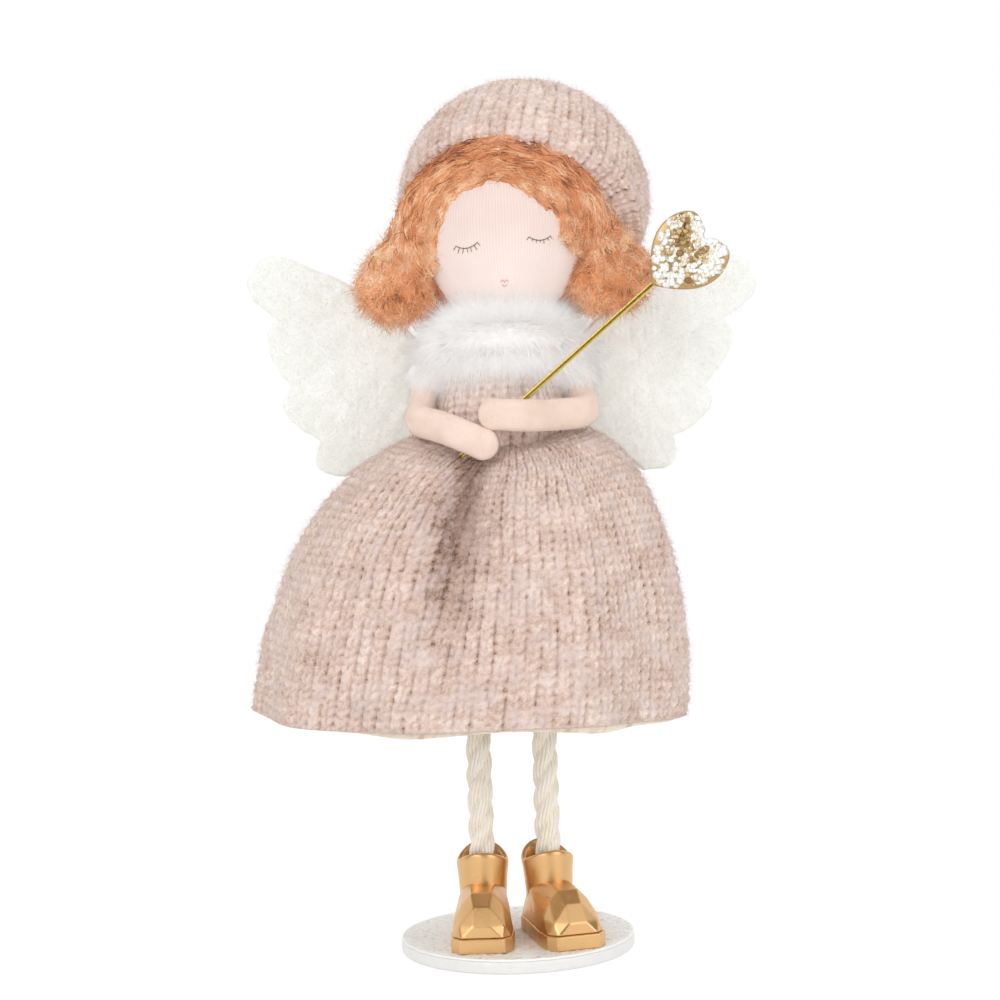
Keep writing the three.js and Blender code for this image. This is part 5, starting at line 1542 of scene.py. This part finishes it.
def metal_finish(name, shades, roughness, metallic, grain_size, unevenness, bump):
    """Metal whose colour runs along a ramp by the stored tone and a little noise."""
    finish, tree, shader = new_finish(name, roughness, metallic=metallic)
    grain = object_noise(tree, grain_size)
    shade = uneven_tone(tree, grain, unevenness)
    tree.links.new(tone_ramp(tree, shade, even_stops(*shades)), shader.inputs["Base Color"])
    rough = spread(tree, grain, 0.3, 0.7, roughness * 0.8, roughness * 1.25)
    tree.links.new(rough, shader.inputs["Roughness"])
    bumped(tree, shader, grain, 0.4, bump)
    return finish


brass_shades = ((98, 80, 22), (196, 168, 78), (244, 226, 150))
brass = metal_finish("brass_wire", brass_shades, 0.28, 0.85, grain_size=0.8, unevenness=0.3, bump=0.03)
around = ring_angles(20)
stem_at = np.linspace(STEM_TAIL, STEM_TIP, 60)[:, None]
groove = np.exp(-((np.sin(around) ** 2 - 1) / 0.25) ** 2)
stem_radius = STEM_RADIUS * (1 - 0.3 * groove)
stem_rings = wand_place(stem_at, stem_radius * np.cos(around), stem_radius * np.sin(around))
# Darker tone in the grooves: painted shade
stem_tone = np.broadcast_to(0.75 - 0.7 * groove, stem_rings.shape[:2])
put_piece("brass_stem", "wand", brass, [skin(stem_rings, stem_tone)], ["wand_stem"])

# %% [markdown]
# On the wire sits a card heart covered with flakes of gold glitter. Its outline is three curves, mirrored,
# and the card is a skin of scaled outlines. Glitter drawn in the finish would look flat, so it is real:
# hundreds of thin six-sided flakes, each tilted its own way, in pale, gold and bronze patches.

# %% Glitter heart
HEART_LENGTH = 21.3
HEART_HALF_WIDTH = 10.3
HEART_NOTCH = 4
HEART_SHOULDER = 14
HEART_LOBE = 5.9
HEART_HALF_THICKNESS = 1.4
HEART_MIDDLE = np.array([12.5, 0])
FLAKES_PER_FACE = 520
FLAKE_SPREAD = 0.92  # share of the heart that their middles cover
FLAKE_HEIGHT = 0.22  # of the highest above the card
FLAKE_TILT = 0.16
FLAKE_RADII = (0.55, 1.15)
FLAKE_HALF_THICKNESS = 0.04
FLAKE_PATCH = 4.6  # size of the light and dark patches


def heart_outline():
    """Three cubic curves from the point round one lobe to the notch, and their mirror image."""
    shoulder = HEART_SHOULDER
    lobe = HEART_LOBE
    notch = HEART_LENGTH - HEART_NOTCH
    wide = HEART_HALF_WIDTH
    curves = [
        [(0, 0), (0.25 * shoulder, 0.85 * lobe), (0.57 * shoulder, wide), (shoulder, wide)],
        [(shoulder, wide), (notch, wide), (HEART_LENGTH, 1.45 * lobe), (HEART_LENGTH, lobe)],
        [(HEART_LENGTH, lobe), (HEART_LENGTH, lobe / 2), (notch + HEART_NOTCH / 2, lobe / 8), (notch, 0)],
    ]
    t = np.linspace(0, 1, 24, endpoint=False)[:, None]
    weights = ((1 - t) ** 3, 3 * t * (1 - t) ** 2, 3 * t**2 * (1 - t), t**3)
    half = np.concatenate([sum(w * np.array(p) for w, p in zip(weights, curve)) for curve in curves])
    other = np.concatenate([[[notch, 0]], half[:0:-1] * (1, -1)])
    return np.concatenate([half, other])


def heart_flakes(outline, face, rng):
    """Thin six-sided plates scattered over one face. A plate is a hexagon in two axes of its own, which lean
    a little from the face's, and its tone follows soft patches."""
    count = FLAKES_PER_FACE
    reach = FLAKE_SPREAD * np.sqrt(rng.random((count, 1)))
    flat = HEART_MIDDLE + reach * (outline[rng.integers(0, len(outline), count)] - HEART_MIDDLE)
    height = face * (HEART_HALF_THICKNESS + rng.uniform(0.0, FLAKE_HEIGHT, count))
    middle = wand_place(flat[:, 0], flat[:, 1], height)
    normal = unit(face * wand_out + FLAKE_TILT * rng.normal(size=(count, 3)))
    first = unit(np.cross(normal, rng.normal(size=(count, 3))))
    second = np.cross(normal, first)
    corner = ring_angles(6)[:, None]
    hexagon = first[:, None] * np.cos(corner) + second[:, None] * np.sin(corner)
    size = rng.uniform(*FLAKE_RADII, (count, 1, 1))
    thick = FLAKE_HALF_THICKNESS * normal[:, None]
    plate = middle[:, None] + size * hexagon
    plates = np.concatenate([plate + thick, plate - thick], axis=1)
    top = [[0, 1, 2, 3], [0, 3, 4, 5]]
    bottom = [[9, 8, 7, 6], [11, 10, 9, 6]]
    walls = [[k, 6 + k, 6 + (k + 1) % 6, (k + 1) % 6] for k in range(6)]
    quads = (np.array(top + bottom + walls) + 12 * np.arange(count)[:, None, None]).reshape(-1, 4)
    patch = lumps(middle, FLAKE_PATCH, 103) + 0.35 * rng.uniform(-1, 1, count)
    tone = np.clip(1.0 + 1.3 * patch, 0, 1)
    points = plates.reshape(-1, 3)
    return points, quads, np.zeros((0, 3), int), np.repeat(tone, 12), np.zeros_like(points)


outline = heart_outline()
sizes = np.array([0.02, 0.5, 0.96, 1, 1, 0.96, 0.5, 0.02])[:, None, None]
thickness = HEART_HALF_THICKNESS * np.array([-1, -1, -1, -0.75, 0.75, 1, 1, 1])[:, None]
flat = HEART_MIDDLE + sizes * (outline - HEART_MIDDLE)
heart_rings = wand_place(flat[..., 0], flat[..., 1], np.broadcast_to(thickness, flat.shape[:2]))
rng = np.random.default_rng(102)
glitter_shades = ((150, 114, 66), (214, 184, 130), (250, 244, 228), (255, 253, 248))
glitter = metal_finish("gold_glitter", glitter_shades, 0.3, 0.4, grain_size=0.6, unevenness=0.2, bump=0.02)
flakes = [heart_flakes(outline, face, rng) for face in (1, -1)]
heart_parts = [skin(heart_rings, 0.14), *flakes]
put_piece("glitter_heart", "wand", glitter, heart_parts, ["wand_heart"])

# %% [markdown]
# ## Legs
# Each leg is a soft cotton rope of three strands, stiffened by a rod. A strand turns round the rope's axis,
# and its yarns turn round the strand the other way, as in any laid rope.

# %% Legs
LEG_X = 9.25
ROPE_LOW = 13.3
ROPE_HIGH = 133.7
ROPE_LAY = 22
ROPE_STEPS = 110
ROPE_FIBRES = 900
ROPE_FLUFF = {"length": (0.8, 1.8), "lift": (0.5, 1), "bend": 0.5, "radius": FUZZ_RADIUS, "sink": 0}
STRAND_PLACE = 1.55
STRAND_RADIUS = 2.05
YARNS = 11
YARN_LAY = 16
YARN_PLACE = 1.65
YARN_RADIUS = 0.46
YARN_STRAY = 0.05
STRAND_CORE = 0.85  # share of a strand that its core fills


def rope_parts(x, seed):
    """Helices of helices: each strand's axis circles the rope, and each yarn circles its strand."""
    rng = np.random.default_rng(seed)
    z = np.linspace(ROPE_LOW, ROPE_HIGH, ROPE_STEPS)
    turn = 2 * np.pi * (z / ROPE_LAY + np.arange(3)[:, None] / 3)
    strands = join_xyz(x + STRAND_PLACE * np.cos(turn), STRAND_PLACE * np.sin(turn), z)
    along = unit(np.gradient(strands, axis=1))
    side = join_xyz(np.cos(turn), np.sin(turn), 0)
    up = np.cross(along, side)
    twist = 2 * np.pi * (-z / YARN_LAY + np.arange(YARNS)[:, None, None] / YARNS)
    yarns = strands + YARN_PLACE * (side * np.cos(twist)[..., None] + up * np.sin(twist)[..., None])
    yarns = yarns.reshape(-1, len(z), 3)
    yarns[:, 1:-1] += YARN_STRAY * rng.normal(size=yarns[:, 1:-1].shape)
    cores = tubes(strands, STRAND_RADIUS * STRAND_CORE, 10, 0.35)
    outer = tubes(yarns, YARN_RADIUS, 6, rng.uniform(0.45, 0.75, (len(yarns), 1)))
    roots = yarns[rng.integers(0, len(yarns), ROPE_FIBRES), rng.integers(5, ROPE_STEPS - 5, ROPE_FIBRES)]
    loose = fibres(roots, unit(rng.normal(size=roots.shape)), rng, tone=(0.6, 1), **ROPE_FLUFF)
    return [cores, outer, loose]


for name, x, seed in (("left_leg_cord", LEG_X, 111), ("right_leg_cord", -LEG_X, 112)):
    put_piece("laid_" + name, "body", cotton_rope, rope_parts(x, seed), [name])

# %% [markdown]
# ## Boots
# The boots are cast and painted gold: a flat sole, an upper cut in facets and a scooped cuff. Flat facets
# need no grid, so the upper is the convex hull of its corners and the sole is a prism, and a bevel rounds
# their edges to catch the light. The cuff is round, so it is a loop of rings: up the outside, over the rim
# and down the inside.

# %% Facets of the boots
DECK = 4.0
TOE_OUT = {"left_boot": np.radians(16), "right_boot": np.radians(-1)}
SOLE_THICKNESS = 4
# One side of the sole and of the upper, mirrored for the other side
SOLE_SIDE = [(6, -25.6), (8.3, -22.8), (8.7, -16.5), (7.3, 0), (7.3, 5), (4.3, 8)]
UPPER_SIDE = [
    (5.6, -25.1, 4), (7.9, -22.5, 4), (8.3, -16.5, 4), (6.9, 5, 4), (4.3, 7.5, 4), (2.4, -25.0, 7.2),
    (6.2, -23.2, 7.2), (7.9, -18.5, 7.4), (2.1, -21.6, 11.8), (5.4, -17, 11.8), (2.8, -16.5, 14.5),
    (7.3, -9, 9.2), (3.2, -9.6, 15.0), (6.0, 0, 13.2), (4.3, 5, 13.5),
]
BOOT_BEVEL = 0.45
GOLD_TONE = 0.6

gold_shades = ((156, 109, 58), (220, 173, 115), (246, 212, 164))
gold_paint = metal_finish("gold_paint", gold_shades, 0.33, 0.88, grain_size=3.0, unevenness=0.14, bump=0.003)


def place_boot(points, name):
    """Turns a boot about its leg's axis and stands it on the base."""
    leg = LEG_X if name == "left_boot" else -LEG_X
    x, y = turned(points[..., 0], points[..., 1], TOE_OUT[name])
    return join_xyz(leg + x, y, DECK + points[..., 2])


def faceted_boot(name):
    """The sole's prism and the upper's convex hull, bevelled."""
    sole = np.array(SOLE_SIDE + [(-x, y) for x, y in SOLE_SIDE[::-1]])
    low = np.column_stack([sole, np.zeros(len(sole))])
    high = np.column_stack([sole, np.full(len(sole), SOLE_THICKNESS)])
    half = np.array(UPPER_SIDE, float)
    upper = np.concatenate([half, half * (-1, 1, 1)])
    shape = bmesh.new()
    hull_corners = [shape.verts.new(corner) for corner in place_boot(upper, name) * MM]
    bmesh.ops.convex_hull(shape, input=hull_corners)
    bmesh.ops.dissolve_limit(shape, angle_limit=np.radians(1), verts=shape.verts, edges=shape.edges)
    under = [shape.verts.new(corner) for corner in place_boot(low, name) * MM]
    over = [shape.verts.new(corner) for corner in place_boot(high, name) * MM]
    shape.faces.new(under)
    shape.faces.new(over)
    for k in range(len(sole)):
        after = (k + 1) % len(sole)
        shape.faces.new([under[k], under[after], over[after], over[k]])
    bmesh.ops.recalc_face_normals(shape, faces=shape.faces)
    mesh = bpy.data.meshes.new(name + "_facets")
    shape.to_mesh(mesh)
    shape.free()
    layer = mesh.attributes.new("tone", "FLOAT", "POINT")
    layer.data.foreach_set("value", np.full(len(mesh.vertices), GOLD_TONE, np.float32))
    mesh.materials.append(gold_paint)
    boot = new_object(name + "_facets", mesh)
    bevel = boot.modifiers.new("soft_edges", "BEVEL")
    bevel.width = BOOT_BEVEL * MM
    bevel.segments = 3
    bevel.limit_method = "ANGLE"
    bevel.angle_limit = np.radians(8)
    bevel.harden_normals = True
    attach(boot, "body")
    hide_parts(name)
    print(name + ":", len(mesh.polygons), "facets")


print("an upper has", 2 * len(UPPER_SIDE), "corners")

# %% Cuffs of the boots
CUFF_RADII = (6.5, 7.3)
CUFF_LEAN = 1.2  # the rim sits this far behind the ankle
CUFF_WALL = 1.5
CUFF_HEIGHTS = {"front": 22.5, "side": 19.6, "back": 23.8}
CUFF_LOW = 10
BOOT_FLOOR = 9


def cuff_rings(name):
    """Circles whose height at the rim runs from the side's to the front's or back's by a power of the sine,
    and that lean back towards the rim."""
    angle = ring_angles(72)
    facing = np.sin(angle)
    end = np.where(facing < 0, CUFF_HEIGHTS["front"], CUFF_HEIGHTS["back"])
    rim = CUFF_HEIGHTS["side"] + (end - CUFF_HEIGHTS["side"]) * np.abs(facing) ** 1.3
    share = np.linspace(0, 1, 16)[:, None]
    height = CUFF_LOW + (rim - CUFF_LOW) * share
    outer_radius = CUFF_RADII[0] + (CUFF_RADII[1] - CUFF_RADII[0]) * share**1.5
    over = np.radians([30, 60, 90, 120, 150])[:, None]
    rim_radius = CUFF_RADII[1] - CUFF_WALL / 2 + CUFF_WALL / 2 * np.cos(over)
    rim_height = rim + CUFF_WALL / 2 * np.sin(over)
    inner_radius = CUFF_RADII[1] - CUFF_WALL - 0.5 * share
    inner_height = rim + (BOOT_FLOOR - rim) * share
    radius = np.concatenate([outer_radius, rim_radius, inner_radius])
    heights = np.concatenate([height, rim_height, inner_height])
    lean = CUFF_LEAN * np.concatenate([share, np.ones_like(over), 1 - share])
    return place_boot(join_xyz(radius * np.cos(angle), radius * np.sin(angle) + lean, heights), name)


for name in TOE_OUT:
    faceted_boot(name)
    put_piece(name + "_cuff", "body", gold_paint, [loop(cuff_rings(name), GOLD_TONE)])

# %% [markdown]
# ## Base
# The base is a white disc with a softened edge, covered with pearly embossed paper. Both are lathed: a
# profile turned once round. Lumps give the paper its pebbled grain.

# %% Base
BASE_RADIUS = 32.5
BASE_THICKNESS = 3.4
BASE_ROUND = 0.8
SHEET_RADIUS = 32.3
SHEET_TOP = 4.0
SHEET_ROWS = 96
SHEET_COLUMNS = 340
PEBBLE_HEIGHT = 0.24
PEBBLE_SIZE = 1.3
PEBBLE_STRETCH = (1, 1.8, 1)  # pebbles are wider than they are deep
PAPER_GRAIN = 0.07


def paint_finish(name, shades, roughness, grain_size, bump, coat):
    """Paint: a colour that noise shifts a little, with a fine bump and a thin clear coat."""
    finish, tree, shader = new_finish(name, roughness)
    shader.inputs["Coat Weight"].default_value = coat
    grain = object_noise(tree, grain_size, 3.0)
    tree.links.new(tone_ramp(tree, grain, even_stops(*shades)), shader.inputs["Base Color"])
    bumped(tree, shader, grain, 0.3, bump)
    return finish


def lathe(profile, columns):
    """Rings from (radius, height) pairs turned round the upright axis."""
    radius, height = np.array(profile).T
    angle = ring_angles(columns)
    return join_xyz(radius[:, None] * np.cos(angle), radius[:, None] * np.sin(angle), height[:, None])


corner = np.radians(np.linspace(0, 90, 5))
edge_out = BASE_RADIUS - BASE_ROUND
edge_up = BASE_THICKNESS - BASE_ROUND
low_edge = zip(edge_out + BASE_ROUND * np.sin(corner), BASE_ROUND - BASE_ROUND * np.cos(corner))
high_edge = zip(edge_out + BASE_ROUND * np.cos(corner), edge_up + BASE_ROUND * np.sin(corner))
disc_rings = lathe([(1, 0), (20, 0), *low_edge, *high_edge, (20, BASE_THICKNESS), (1, BASE_THICKNESS)], 192)
paint_shades = ((232, 230, 228), (243, 242, 241))
white_paint = paint_finish("white_paint", paint_shades, roughness=0.45, grain_size=3.0, bump=0.05, coat=0.2)
put_piece("painted_disc", "body", white_paint, [skin(disc_rings, 0.5)], ["base_disc"])

sheet_radii = np.linspace(SHEET_RADIUS - 0.3, 0.4, SHEET_ROWS)
sheet_profile = [(1, BASE_THICKNESS), (SHEET_RADIUS, BASE_THICKNESS), (SHEET_RADIUS, SHEET_TOP - 0.15)]
edge_rows = len(sheet_profile)
sheet_rings = lathe(sheet_profile + [(radius, SHEET_TOP) for radius in sheet_radii], SHEET_COLUMNS)
pebbles = PEBBLE_HEIGHT * np.abs(lumps(sheet_rings * PEBBLE_STRETCH, PEBBLE_SIZE, 121))
pebbles += PAPER_GRAIN * lumps(sheet_rings, 0.6, 122)
sheet_rings[edge_rows:, :, 2] += pebbles[edge_rows:] - 0.1
# The tone rises with the pebbles' height: painted shade in the hollows between them
sheet_tone = np.clip(0.14 + 8.0 * pebbles, 0, 1)
# The sheet's edge is made lightest: painted light against the shade where sheet meets disc
sheet_tone[: edge_rows + 2] = 1
pearl_stops = even_stops((196, 197, 189), (252, 253, 250), (255, 255, 254))
pearl_drift = colour(246, 247, 244)
pearl_paper = fabric("pearl_paper", pearl_stops, pearl_drift, 4.0, 0.4, 0.25, 0.04, sheen=0.0, roughness=0.35)
put_piece("embossed_sheet", "body", pearl_paper, [skin(sheet_rings, sheet_tone)], ["base_sheet"])

# %% [markdown]
# ## Inner pieces
# The wooden torso and neck dowel and the steel leg rods keep the frame's own shapes. They only show where
# something is lifted, but they still get their finishes: wood with grain along its length, and drawn steel.


# %% Inner pieces
def long_grain(tree, across_mm, along_mm):
    """Noise drawn out along the upright axis."""
    scale = (1 / (across_mm * MM), 1 / (across_mm * MM), 1 / (along_mm * MM))
    place = add_node(tree, "Mapping", {"Vector": object_place(tree), "Scale": scale}).outputs["Vector"]
    return add_node(tree, "TexNoise", {"Vector": place, "Scale": 1.0, "Detail": 4.0}).outputs["Fac"]


def grained_finish(name, shades, roughness, metallic, across_mm, along_mm):
    """A colour ramp along stretched noise, with a fine bump."""
    finish, tree, shader = new_finish(name, roughness, metallic=metallic)
    grain = long_grain(tree, across_mm, along_mm)
    tree.links.new(tone_ramp(tree, grain, even_stops(*shades)), shader.inputs["Base Color"])
    bumped(tree, shader, grain, 0.3, 0.05)
    return finish


wood_shades = ((176, 132, 88), (222, 186, 140), (236, 208, 168))
bare_wood = grained_finish("bare_wood", wood_shades, 0.7, metallic=0.0, across_mm=0.8, along_mm=12.0)
steel_shades = ((120, 120, 122), (178, 178, 180), (208, 208, 210))
steel = grained_finish("drawn_steel", steel_shades, 0.35, metallic=1.0, across_mm=0.3, along_mm=20.0)
inner_finishes = {
    "torso_core": bare_wood,
    "neck_dowel": bare_wood,
    "left_leg_rod": steel,
    "right_leg_rod": steel,
}
for node, finish in inner_finishes.items():
    solid = bpy.data.objects[node]
    solid.data.materials.clear()
    solid.data.materials.append(finish)
print("inner pieces:", list(inner_finishes))
